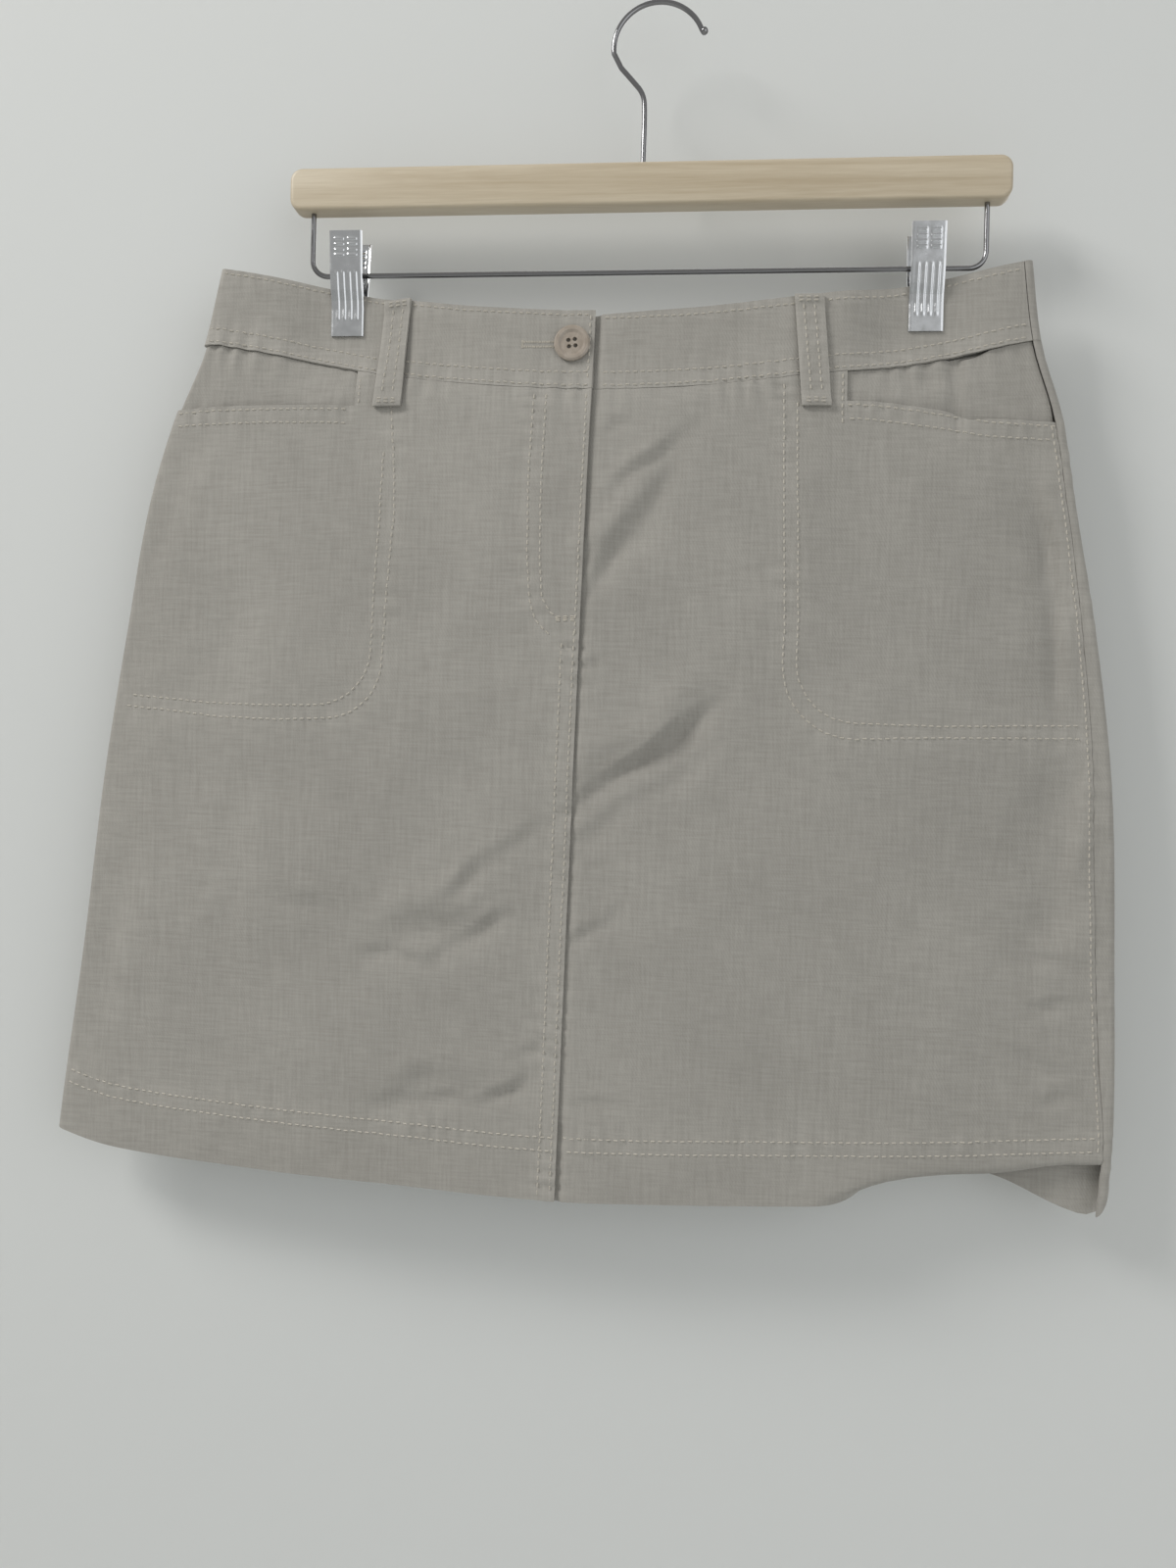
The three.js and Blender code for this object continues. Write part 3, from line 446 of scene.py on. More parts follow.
def pucker(path, x, z, reach, height, pitch):
    """Ripples across a stitched seam, uneven in length and depth, and a mask that is high on their crests, for seam
    fading with painted highlight there.
    """
    away, travel = distance_to(path, x, z)
    wave = np.sin(travel * 2 * math.pi / pitch + 1.9 * np.sin(travel * 0.093))
    strength = 0.55 + 0.45 * np.sin(travel * 0.071 + 0.7)
    near = np.exp(-((away / reach) ** 2))
    # The mask follows the ripple and is high on its crests, where the cloth colour is lightened as fading and as
    # painted highlight.
    return height * near * strength * wave, near * (0.5 + 0.5 * wave * strength)


# Stitched lines on the front, in the order that they are sewn.

def line_from(fn, x1, x2, by=0.0, step=6.0):
    xs = np.linspace(x1, x2, max(2, int(abs(x2 - x1) / step)))
    return [(float(x), float(fn(x)) + by) for x in xs]


def centre_line(by, z1, z2, step=12.0):
    zs = np.linspace(z1, z2, max(2, int(abs(z2 - z1) / step)))
    return [(float(centre_front(z)) + by, float(z)) for z in zs]


def arc(cx, cz, radius, a1, a2, count=8):
    turns = np.radians(np.linspace(a1, a2, count))
    return [(cx + radius * math.cos(t), cz + radius * math.sin(t)) for t in turns]


def seam_on_front(z):
    return right_outline(z) - along(SEAM_INSET, "z", "inset", z)


def side_line(by, z1, z2):
    zs = np.linspace(z1, z2, 40)
    return [(float(seam_on_front(z)) + by, float(z)) for z in zs]


BAG_RIGHT_OUTER = [(-129, -196), (-126, -230), (-125, -255), (-128, -295)] + arc(
    -158, -328, 28.5, 0, -90) + [(-182, -357.5), (-213, -356.5), (-246, -353), (-267, -351.4)]
BAG_RIGHT_INNER = [(-131.5, -224), (-132.5, -261), (-134.5, -295)] + arc(
    -163, -322, 28, 0, -90) + [(-190, -350.5), (-219, -349.5), (-265, -345.7)]
BAG_LEFT_OUTER = [(64, -191), (64.6, -230), (66.5, -309)] + arc(
    100, -328, 34, 180, 270) + [(142, -360.5), (181, -359.8), (211, -359.6)]
BAG_LEFT_INNER = [(70.5, -200), (71, -230), (73, -309)] + arc(
    101, -326, 28.5, 180, 270) + [(142, -355), (200, -353.4), (211, -353)]
MOUTH_RIGHT = line_from(right_mouth, -241, -147.5, -2.0)
MOUTH_RIGHT_LOW = line_from(right_mouth, -241, -149, -8.6)
MOUTH_LEFT = line_from(left_mouth, 94, 195, -2.0)
MOUTH_LEFT_LOW = line_from(left_mouth, 95, 195, -8.6)
FLY_OUTER = [(-57.1, -196), (-58.6, -237.5), (-58.2, -276)] + [
    (-56.5, -298), (-53.5, -307), (-46, -315)]
FLY_INNER = [(-51, -196), (-52.3, -237.5), (-52, -276), (-50.5, -296), (-46.5, -303), (-41, -308)]
HEM_HIGH = line_from(front_hem, -290, 222, HEM_DEPTH)
HEM_LOW = line_from(front_hem, -291, 222, HEM_DEPTH - 6.5)
CENTRE_EDGE = centre_line(-2.5, -312, -588)
CENTRE_LOW = centre_line(-8.5, -318, -588)
SEAM_LINES = [HEM_HIGH, CENTRE_EDGE, CENTRE_LOW, MOUTH_RIGHT, MOUTH_LEFT, BAG_RIGHT_OUTER,
              BAG_LEFT_OUTER, FLY_OUTER, side_line(3, -206, -580)]


def front_relief(grid):
    """Moves a front grid by its seam puckers and rumples, and gives their mask of seam fading and painted highlight on
    the pucker crests.
    """
    x, z = grid[..., 0], grid[..., 2]
    inset = np.minimum(x - left_outline(z), right_outline(z) - x)
    fade = smooth(0.5, 5, inset) * (grid[..., 1] < 0)
    total = rumple(x, z) * smooth(0, 10, panel_top(x) - z)
    fading_and_painted_highlight = np.zeros(x.shape)
    for path in SEAM_LINES:
        strong = path is HEM_HIGH or path is CENTRE_EDGE
        move, mark = pucker(path, x, z, 6.5, 0.75 if strong else 0.5, 9)
        total += move
        fading_and_painted_highlight = np.maximum(fading_and_painted_highlight, mark * 0.8)
    waist_path = line_from(band_seam, -225, 184)
    move, mark = pucker(waist_path, x, z, 10, 0.9, 10)
    grid[..., 1] += (total + move) * fade
    return np.maximum(fading_and_painted_highlight, mark)


# ------------------------------------------------------------------ materials

def linear(colour):
    """sRGB hex to linear RGBA."""
    values = [int(colour[i : i + 2], 16) / 255 for i in (1, 3, 5)]
    return tuple(v / 12.92 if v <= 0.04045 else ((v + 0.055) / 1.055) ** 2.4 for v in values) + (1.0,)


def add_node(tree, kind, values=None, links=None, **settings):
    """Adds one shader node with its settings, socket values and incoming links."""
    node = tree.nodes.new(kind)
    for key, value in settings.items():
        setattr(node, key, value)
    for key, value in (values or {}).items():
        node.inputs[key].default_value = value
    for key, source in (links or {}).items():
        tree.links.new(source, node.inputs[key])
    return node


def start_material(name):
    material = bpy.data.materials.get(name)
    if material:
        return material, None
    material = bpy.data.materials.new(name)
    material.use_nodes = True
    material.node_tree.nodes.clear()
    return material, material.node_tree


def finish_material(tree, shader):
    add_node(tree, "ShaderNodeOutputMaterial", links={"Surface": shader.outputs["BSDF"]})


def washed_twill(name, colour, light, dark):
    """Washed cotton twill: a matt steep twill line, slubs, and seams lightened by fading and by painted highlight on
    the pucker crests.
    """
    material, tree = start_material(name)
    if tree is None:
        return material
    place = add_node(tree, "ShaderNodeTexCoord").outputs["Object"]
    # The twill line is 0.5 mm on the cloth, drawn 1.3 mm apart so that it shows.
    twill_map = add_node(tree, "ShaderNodeMapping", {"Rotation": (0, math.radians(27), 0)}, {"Vector": place})
    twill = add_node(
        tree, "ShaderNodeTexWave", {"Scale": 240.0, "Distortion": 1.6, "Detail": 1.0, "Detail Scale": 2.0},
        {"Vector": twill_map.outputs["Vector"]}, wave_type="BANDS", bands_direction="X")
    # Slubs are thick yarns, 10 to 20 mm long and under 1 mm high, running across.
    slub_map = add_node(tree, "ShaderNodeMapping", {"Scale": (70, 70, 900)}, {"Vector": place})
    slub = add_node(tree, "ShaderNodeTexNoise", {"Scale": 1.0, "Detail": 3.0, "Roughness": 0.6},
                    {"Vector": slub_map.outputs["Vector"]})
    warp_map = add_node(tree, "ShaderNodeMapping", {"Scale": (900, 200, 60)}, {"Vector": place})
    warp = add_node(tree, "ShaderNodeTexNoise", {"Scale": 1.0, "Detail": 3.0, "Roughness": 0.6},
                    {"Vector": warp_map.outputs["Vector"]})
    # Cloudy fading from washing, about 60 mm across.
    cloud = add_node(tree, "ShaderNodeTexNoise", {"Scale": 16.0, "Detail": 3.0, "Roughness": 0.55}, {"Vector": place})
    # Mask of seam fading and painted highlight on the pucker crests.
    fading_and_painted_highlight = add_node(tree, "ShaderNodeAttribute", attribute_name="fading_and_painted_highlight")
    yarn = add_node(tree, "ShaderNodeMath", links={0: slub.outputs["Fac"], 1: warp.outputs["Fac"]}, operation="ADD")
    tone = add_node(tree, "ShaderNodeMapRange", {"From Min": 0.7, "From Max": 1.3, "To Min": 0.2, "To Max": 0.8},
                    {"Value": yarn.outputs[0]})
    base = add_node(tree, "ShaderNodeMix", {"A": linear(dark), "B": linear(light)},
                    {"Factor": tone.outputs["Result"]}, data_type="RGBA")
    for key, value in (("A", linear(dark)), ("B", linear(light))):
        socket = [s for s in base.inputs if s.name == key and s.type == "RGBA"][0]
        socket.default_value = value
    first = [s for s in base.outputs if s.type == "RGBA"][0]
    cloudy = add_node(tree, "ShaderNodeMapRange", {"From Min": 0.3, "From Max": 0.7, "To Min": 0.95, "To Max": 1.05},
                      {"Value": cloud.outputs["Fac"]})
    # Seam fading, with painted highlight on the pucker crests: the cloth colour is lifted where the mask is high.
    fading_and_highlight_gain = add_node(tree, "ShaderNodeMapRange", {"From Min": 0.0, "From Max": 1.0, "To Min": 0.97, "To Max": 1.11},
                     {"Value": fading_and_painted_highlight.outputs["Fac"]})
    gain = add_node(tree, "ShaderNodeMath", links={0: cloudy.outputs["Result"], 1: fading_and_highlight_gain.outputs["Result"]},
                    operation="MULTIPLY")
    tinted = add_node(tree, "ShaderNodeVectorMath", links={0: first}, operation="SCALE")
    tree.links.new(gain.outputs[0], tinted.inputs["Scale"])
    relief = add_node(tree, "ShaderNodeMath", {1: 0.35}, {0: twill.outputs["Fac"]}, operation="MULTIPLY")
    relief_sum = add_node(tree, "ShaderNodeMath", links={0: relief.outputs[0], 1: yarn.outputs[0]}, operation="ADD")
    bump = add_node(tree, "ShaderNodeBump", {"Strength": 0.35, "Distance": 0.0004}, {"Height": relief_sum.outputs[0]})
    shader = add_node(
        tree, "ShaderNodeBsdfPrincipled",
        {"Roughness": 0.92, "Specular IOR Level": 0.25, "Sheen Weight": 0.12, "Sheen Roughness": 0.5},
        {"Base Color": tinted.outputs["Vector"], "Normal": bump.outputs["Normal"]})
    finish_material(tree, shader)
    return material


def spun_thread(name, colour):
    """Polyester topstitching thread: a soft satin twist."""
    material, tree = start_material(name)
    if tree is None:
        return material
    place = add_node(tree, "ShaderNodeTexCoord").outputs["Object"]
    fleck = add_node(tree, "ShaderNodeTexNoise", {"Scale": 900.0, "Detail": 2.0}, {"Vector": place})
    bump = add_node(tree, "ShaderNodeBump", {"Strength": 0.3, "Distance": 0.0002}, {"Height": fleck.outputs["Fac"]})
    shader = add_node(tree, "ShaderNodeBsdfPrincipled",
                      {"Base Color": linear(colour), "Roughness": 0.6, "Specular IOR Level": 0.4},
                      {"Normal": bump.outputs["Normal"]})
    finish_material(tree, shader)
    return material


def lacquered_hardwood(name, light, dark):
    """Planed pale hardwood under thin lacquer: long straight grain along the bar."""
    material, tree = start_material(name)
    if tree is None:
        return material
    place = add_node(tree, "ShaderNodeTexCoord").outputs["Object"]
    # Growth lines 3 mm apart that run the length of the bar and wander slowly.
    stretch = add_node(tree, "ShaderNodeMapping", {"Scale": (3.5, 60, 110)}, {"Vector": place})
    grain = add_node(tree, "ShaderNodeTexNoise", {"Scale": 1.0, "Detail": 5.0, "Roughness": 0.6, "Distortion": 0.7},
                     {"Vector": stretch.outputs["Vector"]})
    pores_map = add_node(tree, "ShaderNodeMapping", {"Scale": (60, 900, 1400)}, {"Vector": place})
    pores = add_node(tree, "ShaderNodeTexNoise", {"Scale": 1.0, "Detail": 2.0}, {"Vector": pores_map.outputs["Vector"]})
    blend = add_node(tree, "ShaderNodeMath", {1: 0.25}, {0: pores.outputs["Fac"]}, operation="MULTIPLY")
    total = add_node(tree, "ShaderNodeMath", links={0: grain.outputs["Fac"], 1: blend.outputs[0]}, operation="ADD")
    ramp = add_node(tree, "ShaderNodeValToRGB", links={"Fac": total.outputs[0]})
    ramp.color_ramp.elements[0].position = 0.42
    ramp.color_ramp.elements[0].color = linear(dark)
    ramp.color_ramp.elements[1].position = 0.78
    ramp.color_ramp.elements[1].color = linear(light)
    bump = add_node(tree, "ShaderNodeBump", {"Strength": 0.15, "Distance": 0.0002}, {"Height": pores.outputs["Fac"]})
    shader = add_node(tree, "ShaderNodeBsdfPrincipled", {"Roughness": 0.45, "Coat Weight": 0.15, "Coat Roughness": 0.3},
                      {"Base Color": ramp.outputs["Color"], "Normal": bump.outputs["Normal"]})
    finish_material(tree, shader)
    return material


def plated_steel(name, colour, roughness):
    """Chrome plate over drawn or pressed steel: bright, with faint handling haze."""
    material, tree = start_material(name)
    if tree is None:
        return material
    place = add_node(tree, "ShaderNodeTexCoord").outputs["Object"]
    haze = add_node(tree, "ShaderNodeTexNoise", {"Scale": 220.0, "Detail": 3.0}, {"Vector": place})
    rough = add_node(tree, "ShaderNodeMapRange",
                     {"From Min": 0.3, "From Max": 0.7, "To Min": roughness * 0.7, "To Max": roughness * 1.4},
                     {"Value": haze.outputs["Fac"]})
    shader = add_node(tree, "ShaderNodeBsdfPrincipled", {"Base Color": linear(colour), "Metallic": 1.0},
                      {"Roughness": rough.outputs["Result"]})
    finish_material(tree, shader)
    return material


def button_resin(name, colour, dark):
    """Cast polyester button: polished, with a faint pearly cloud."""
    material, tree = start_material(name)
    if tree is None:
        return material
    place = add_node(tree, "ShaderNodeTexCoord").outputs["Object"]
    cloud = add_node(tree, "ShaderNodeTexNoise", {"Scale": 180.0, "Detail": 3.0, "Distortion": 1.0}, {"Vector": place})
    ramp = add_node(tree, "ShaderNodeValToRGB", links={"Fac": cloud.outputs["Fac"]})
    ramp.color_ramp.elements[0].position = 0.3
    ramp.color_ramp.elements[0].color = linear(dark)
    ramp.color_ramp.elements[1].position = 0.7
    ramp.color_ramp.elements[1].color = linear(colour)
    shader = add_node(tree, "ShaderNodeBsdfPrincipled", {"Roughness": 0.28, "IOR": 1.55},
                      {"Base Color": ramp.outputs["Color"]})
    finish_material(tree, shader)
    return material


def twill():
    colours = bpy.context.scene.skort_colours
    return washed_twill("washed_cotton_twill", colours.cloth, colours.cloth_light, colours.cloth_dark)


def thread():
    return spun_thread("topstitch_thread", bpy.context.scene.skort_colours.thread)


# ------------------------------------------------------------------ pieces

def panel_rows(mouth, hem):
    stitch = lambda x: hem(x) + HEM_DEPTH
    upper = rows_between(panel_top, mouth, 10)
    middle = rows_between(mouth, constant(BAG_FLOOR), 60)
    lower = rows_between(constant(BAG_FLOOR), stitch, 74)
    return upper + middle[1:] + lower[1:]


def with_hem(grid, columns, count=16):
    last = grid[-1]
    rows = []
    for n in range(1, count + 1):
        x = last[:, 0]
        straight = along(HEM_FLIP, "x", "straight", x)
        turn = np.radians(np.maximum(along(HEM_FLIP, "x", "turn", x), 0))
        distance = along(HEM_FLIP, "x", "length", x) * n / count
        bent = np.clip((distance - straight) / 3.0, 0, turn)
        rest = np.maximum(distance - straight - 3.0 * bent, 0) * (distance > straight)
        flat = np.minimum(distance, straight)
        down = flat + 3.0 * np.sin(bent) + rest * np.cos(bent)
        back = 3.0 * (1 - np.cos(bent)) + rest * np.sin(bent)
        z = last[:, 2] - down
        row = np.empty_like(last)
        for j, column in enumerate(columns):
            px, py = column(np.array([z[j]]))
            row[j] = px[0], py[0] + back[j], z[j]
        rows.append(row)
    return np.concatenate([grid, np.array(rows)])


def right_panel_grid():
    corner, edge = constant(-147.5), constant(-124)
    fold_end = lambda z: left_outline(z) + FOLD_RADIUS
    columns = [back_column(lambda z: left_outline(z) + 5.8)]
    columns += fold_fan("left", 90, -90)
    columns += [front_column(p) for p in between(fold_end, corner, 46)]
    columns += [front_column(p) for p in between(corner, edge, 9)]
    columns += [front_column(p) for p in between(edge, centre_front, 38)]
    grid = with_hem(grid_of(columns, panel_rows(right_mouth, front_hem)), columns)
    return grid, len(columns) - 1 - 38 - 9, len(columns) - 38


def left_panel_grid():
    corner, edge = constant(94), constant(61)
    start = shift(centre_front, -12)
    columns = [front_column(p) for p in between(start, edge, 42, skip_first=False)]
    columns += [front_column(p) for p in between(edge, corner, 12)]
    columns += [front_column(p) for p in between(corner, shift(seam_on_front, -0.1), 46)]
    grid = with_hem(grid_of(columns, panel_rows(left_mouth, front_hem)), columns)
    lap = 1 - smooth(0.8, 4, grid[..., 0] - centre_front(grid[..., 2]))
    grid[..., 1] += lap * np.where(grid[..., 2] < front_hem(grid[..., 0]) + HEM_DEPTH + 8, 2.2, LAYER)
    return grid, 42 + 12, 42


def skirt_front():
    right, right_corner, right_edge = right_panel_grid()
    left, left_corner, left_edge = left_panel_grid()
    right_fading_and_highlight, left_fading_and_highlight = front_relief(right), front_relief(left)
    # The edge of the right front stands a little proud along the opening and the seam.
    near = np.exp(-((centre_front(right[..., 2]) - right[..., 0]) / 5.0) ** 2)
    fly = smooth(-345, -300, right[..., 2])
    right[..., 1] -= near * (0.35 + 0.9 * fly)
    sheets = []
    for name, grid, fading_and_painted_highlight, corner, mouth in (
        ("front_panel_right", right, right_fading_and_highlight, right_corner, "right"),
        ("front_panel_left", left, left_fading_and_highlight, left_corner, "left"),
    ):
        rows, columns = grid.shape[:2]
        kept = np.ones((rows - 1, columns - 1), bool)
        if mouth == "right":
            kept[:10, :corner] = False
        else:
            kept[:10, corner:] = False
        # The pocket's mouth is turned in, so its edge stands off the facing.
        mouth_line = right_mouth if mouth == "right" else left_mouth
        x, z = grid[..., 0], grid[..., 2]
        side = smooth(-146, -156, x) if mouth == "right" else smooth(96, 106, x)
        inset = np.minimum(x - left_outline(z), right_outline(z) - x)
        lip = np.exp(-((mouth_line(x) - z) / 7.0) ** 2) * side * smooth(5, 25, inset)
        wavy = 0.9 + 0.5 * np.sin(x * 0.11 + 1)
        grid[..., 1] -= lip * wavy
        if mouth == "left":
            notch = np.exp(-((x - 146.5) / 2.6) ** 2) * smooth(-226, -205, z)
            grid[..., 1] += 1.5 * notch
            grid[..., 2] -= 2.2 * np.exp(-((x - 152) / 7.0) ** 2) * smooth(-216, -206, z)
        thick = np.full((rows, columns), CLOTH)
        thick[-17:] = 1.5
        piece = shell(name, grid, 0.0, thick, kept, fading_and_painted_highlight)
        settle(piece, "twill", twill(), name)
        sheets.append(piece)
    layer = -LAYER
    for name, grid, columns, outline, corner, mouth in (
        ("pocket_facing_right", right, slice(0, right_edge), left_outline, -147.5, right_mouth),
        ("pocket_facing_left", left, slice(left_edge, None), right_outline, 94, left_mouth),
    ):
        part = grid[:71, columns].copy()
        x, z = part[..., 0], part[..., 2]
        across = np.clip((x - outline(z)) / (corner - outline(z)), 0, 1)
        slack = 3 * np.sin(math.pi * across) * smooth(panel_top(x), mouth(x), z)
        slack = slack * smooth(BAG_FLOOR, mouth(x), z) * (1 - pinch(x, z))
        slack[:10] = (3 * np.sin(math.pi * across) * (1 - pinch(x, z)))[:10] * (
            np.arange(10) / 10)[:, None]
        piece = shell(name, part, layer - slack, CLOTH)
        settle(piece, "twill", twill(), name)
        sheets.append(piece)
    return sheets


def skirt_back():
    columns = [front_column(shift(seam_on_front, 0.1))]
    columns += fold_fan("right", -90, 90)
    start = lambda z: right_outline(z) - FOLD_RADIUS
    end = lambda z: left_outline(z) + 6.2
    columns += [back_column(p) for p in between(start, end, 120)]
    rows = panel_rows(left_mouth, back_hem)
    hem = rows_between(lambda x: back_hem(x) + HEM_DEPTH, back_hem, 12)
    grid = grid_of(columns, rows[::2] + hem[1:])
    x, z = grid[..., 0], grid[..., 2]
    back = grid[..., 1] > 0
    grid[..., 1] -= rumple(x + 90, z) * back * smooth(0, 20, np.minimum(x - left_outline(z), right_outline(z) - x))
    move, mark = pucker(line_from(back_hem, -290, 222, HEM_DEPTH), x, z, 6, 0.4, 9)
    grid[..., 1] -= move * back
    side, side_mark = pucker(side_line(4, -206, -580), x, z, 6, 0.35, 9)
    grid[..., 0] += side * ~back * 0.6
    thick = np.full(x.shape, CLOTH)
    thick[-12:] = 1.5
    piece = shell("back_panel", grid, 0.0, thick, None, np.maximum(mark, side_mark))
    settle(piece, "twill", twill(), "back_panel")
    return piece


def band_grid(columns, sink=None):
    grid = grid_of(columns, rows_between(waist, band_seam, 18))
    x, z = grid[..., 0], grid[..., 2]
    if sink is not None:
        grid[..., 1] += sink * (1 - smooth(0.8, 4, x - centre_front(z)))
    path = line_from(band_seam, -225, 184)
    move, mark = pucker(path, x, z, 10, 0.9, 10)
    top = line_from(waist, -221, 182, -2)
    edge_move, edge_mark = pucker(top, x, z, 4, 0.2, 8)
    face = np.where(grid[..., 1] < 0, 1, -1)
    calm = (1 - pinch(x, z)) * smooth(3, 8, np.minimum(x - left_outline(z), right_outline(z) - x))
    grid[..., 1] += face * calm * (move + edge_move + 0.7 * rumple(x * 1.3, z))
    return grid, np.maximum(mark, edge_mark)


def waistbands():
    right = [back_column(lambda z: left_outline(z) + 7.3)] + fold_fan("left", 90, -90)
    fold_end = lambda z: left_outline(z) + FOLD_RADIUS
    right += [front_column(p) for p in between(fold_end, centre_front, 84)]
    left = [front_column(p) for p in between(
        shift(centre_front, -24), lambda z: right_outline(z) - FOLD_RADIUS - 1, 100, False)]
    back = [front_column(lambda z: right_outline(z) - FOLD_RADIUS - 0.6)] + fold_fan("right", -75, 90)
    back += [back_column(p) for p in between(
        lambda z: right_outline(z) - FOLD_RADIUS, lambda z: left_outline(z) + 7.7, 130)]
    for name, columns, sink in (
        ("waistband_front_right", right, None),
        ("waistband_front_left", left, 2.0),
        ("waistband_back", back, None),
    ):
        grid, fading_and_painted_highlight = band_grid(columns, sink)
        if name == "waistband_front_right":
            # The buttoned end stands off the underlap.
            grid[..., 1] -= 0.9 * np.exp(-((centre_front(grid[..., 2]) - grid[..., 0]) / 9.0) ** 2)
        if name == "waistband_front_left":
            drop = np.exp(-np.clip(grid[..., 0] - centre_front(grid[..., 2]), 0, None) / 25.0)
            grid[..., 2] -= 2.2 * drop * smooth(-180, -156, grid[..., 2])
        piece = shell(name, grid, 0.0, 1.5, None, fading_and_painted_highlight)
        settle(piece, "twill", twill(), name)


def inner_pieces():
    """The underlap behind the opening, and the plain shorts, follow their solids closely."""
    for name in ("fly_underlap", "shorts_front_right", "shorts_front_left",
                 "shorts_back_right", "shorts_back_left"):
        source = bpy.data.objects[name]
        piece = source.copy()
        piece.data = source.data.copy()
        piece.name = name + "_cloth"
        bpy.context.scene.collection.objects.link(piece)
        piece.hide_render = False
        select_only(piece)
        bpy.ops.object.mode_set(mode="EDIT")
        bpy.ops.mesh.select_all(action="SELECT")
        bpy.ops.mesh.remove_doubles(threshold=1e-5)
        bpy.ops.mesh.tris_convert_to_quads()
        bpy.ops.mesh.subdivide(number_cuts=2, smoothness=0.0)
        bpy.ops.object.mode_set(mode="OBJECT")
        bpy.ops.object.shade_smooth_by_angle(angle=math.radians(40))
        slot = "twill" if name == "fly_underlap" else "shorts_cloth"
        settle(piece, slot, twill(), name)


def belt_loops():
    loops = {
        "belt_loop_front_right": (-127, -130.5, front_column, 1),
        "belt_loop_front_left": (75, 79.5, front_column, 1),
        "belt_loop_back_right": (-112, -115, back_column, -1),
        "belt_loop_back_centre": (-25, -26, back_column, -1),
        "belt_loop_back_left": (60, 63, back_column, -1),
    }
    for name, (high, low, face, sign) in loops.items():
        top = float(waist(high)) - 0.5
        bottom = float(waist(high)) - BAND_HEIGHT - 16
        middle = lambda z, high=high, low=low, top=top, bottom=bottom: mix(
            high, low, (top - z) / (top - bottom))
        half = 7 * sign
        columns = [face(shift(middle, half * t)) for t in np.linspace(-1, 1, 13)]
        grid = grid_of(columns, rows_between(constant(top), constant(bottom), 36))
        v = np.linspace(0, 1, 37)[:, None]
        u = np.linspace(-1, 1, 13)[None, :]
        lift = 1.7 + 1.1 * np.sin(math.pi * v) + 0.18 * np.sin(v * 42 + 2 * u) * (1 - u * u)
        lift = lift - 0.35 * np.abs(u) ** 8
        ends = 1.3 * (np.exp(-((v - 0.03) / 0.05) ** 2) + np.exp(-((v - 0.97) / 0.05) ** 2))
        # Lighter towards both edges of the loop, as fading where they rub.
        fading_and_painted_highlight = np.broadcast_to(np.abs(u) ** 3, lift.shape)
        piece = shell(name, grid, lift + ends, 1.1 + ends, None, fading_and_painted_highlight)
        settle(piece, "twill", twill(), name)


# ------------------------------------------------------------------ stitching

def resample(path, pitch):
    points = np.asarray(path, float)
    runs = np.hypot(*(points[1:] - points[:-1]).T)
    reach = np.concatenate([[0], np.cumsum(runs)])
    spots = np.arange(0, reach[-1], pitch)
    return np.stack([np.interp(spots, reach, points[:, n]) for n in (0, 1)], 1)


def surface_sampler(pieces, face):
    """Casts rays onto the finished cloth, so that each stitch lies on it."""
    depsgraph = bpy.context.evaluated_depsgraph_get()
    from mathutils import Vector
    from mathutils.bvhtree import BVHTree
    trees = [BVHTree.FromObject(piece, depsgraph) for piece in pieces]
    direction = Vector((0, 1, 0)) if face == "front" else Vector((0, -1, 0))
    start_y = -0.2 if face == "front" else 0.2

    def sample(x, z):
        best = None
        for tree in trees:
            hit, _, _, away = tree.ray_cast(Vector((x * MM, start_y, z * MM)), direction)
            if hit is not None and (best is None or away < best[1]):
                best = (hit.y / MM, away)
        return None if best is None else best[0]

    return sample


def stitches(name, rows, pieces, face="front", length=2.6, pitch=3.6, width=0.85):
    """Rows of stitches as one joined mesh: each is a small pointed bar on the cloth."""
    sample = surface_sampler(pieces, face)
    out = -1 if face == "front" else 1
    ring = [(1, 0), (0, 1), (-1, 0), (0, -1)]
    vertices, faces = [], []
    rng = np.random.default_rng(7)
    for path in rows:
        spots = resample(path, pitch)
        for a, b in zip(spots[:-1], spots[1:]):
            run = np.hypot(*(b - a)) + 1e-9
            d = (b - a) / run
            p, q = a + d * 0.3, a + d * min(length + 0.3, run)
            jitter = rng.normal(0, 0.12, 2)
            ends = []
            for spot, by in ((p, jitter[0]), (q, jitter[1])):
                x, z = spot[0] - d[1] * by, spot[1] + d[0] * by
                y = sample(x, z)
                if y is None:
                    break
                ends.append(np.array([x, y, z]))
            if len(ends) < 2 or abs(ends[0][1] - ends[1][1]) > 1.6:
                continue
            middle = np.array([-d[1], 0, d[0]])
            base = len(vertices)
            vertices.append(ends[0] + [0, -out * 0.1, 0])
            for t in (0.2, 0.8):
                centre = mix(ends[0], ends[1], t) + np.array([0, out * 0.12, 0])
                for side, up in ring:
                    vertices.append(centre + middle * side * width / 2 + np.array([0, out * up * width / 2, 0]))
            vertices.append(ends[1] + [0, -out * 0.1, 0])
            for n in range(4):
                m = (n + 1) % 4
                faces.append((base, base + 1 + n, base + 1 + m))
                faces.append((base + 1 + n, base + 5 + n, base + 5 + m, base + 1 + m))
                faces.append((base + 9, base + 5 + m, base + 5 + n))
    piece = new_mesh_object(name, np.array(vertices), faces, smooth_faces=False)
    select_only(piece)
    bpy.ops.object.mode_set(mode="EDIT")
    bpy.ops.mesh.select_all(action="SELECT")
    bpy.ops.mesh.normals_make_consistent(inside=False)
    bpy.ops.object.mode_set(mode="OBJECT")
    settle(piece, "twill", thread())
    return piece


def by_name(*names):
    return [bpy.data.objects[name] for name in names]


def find_piece(name):
    """The finished piece of this name, whether Blender numbered it or not."""
    return next(p for p in bpy.data.objects if p.name.split(".")[0] == name and not p.hide_render)


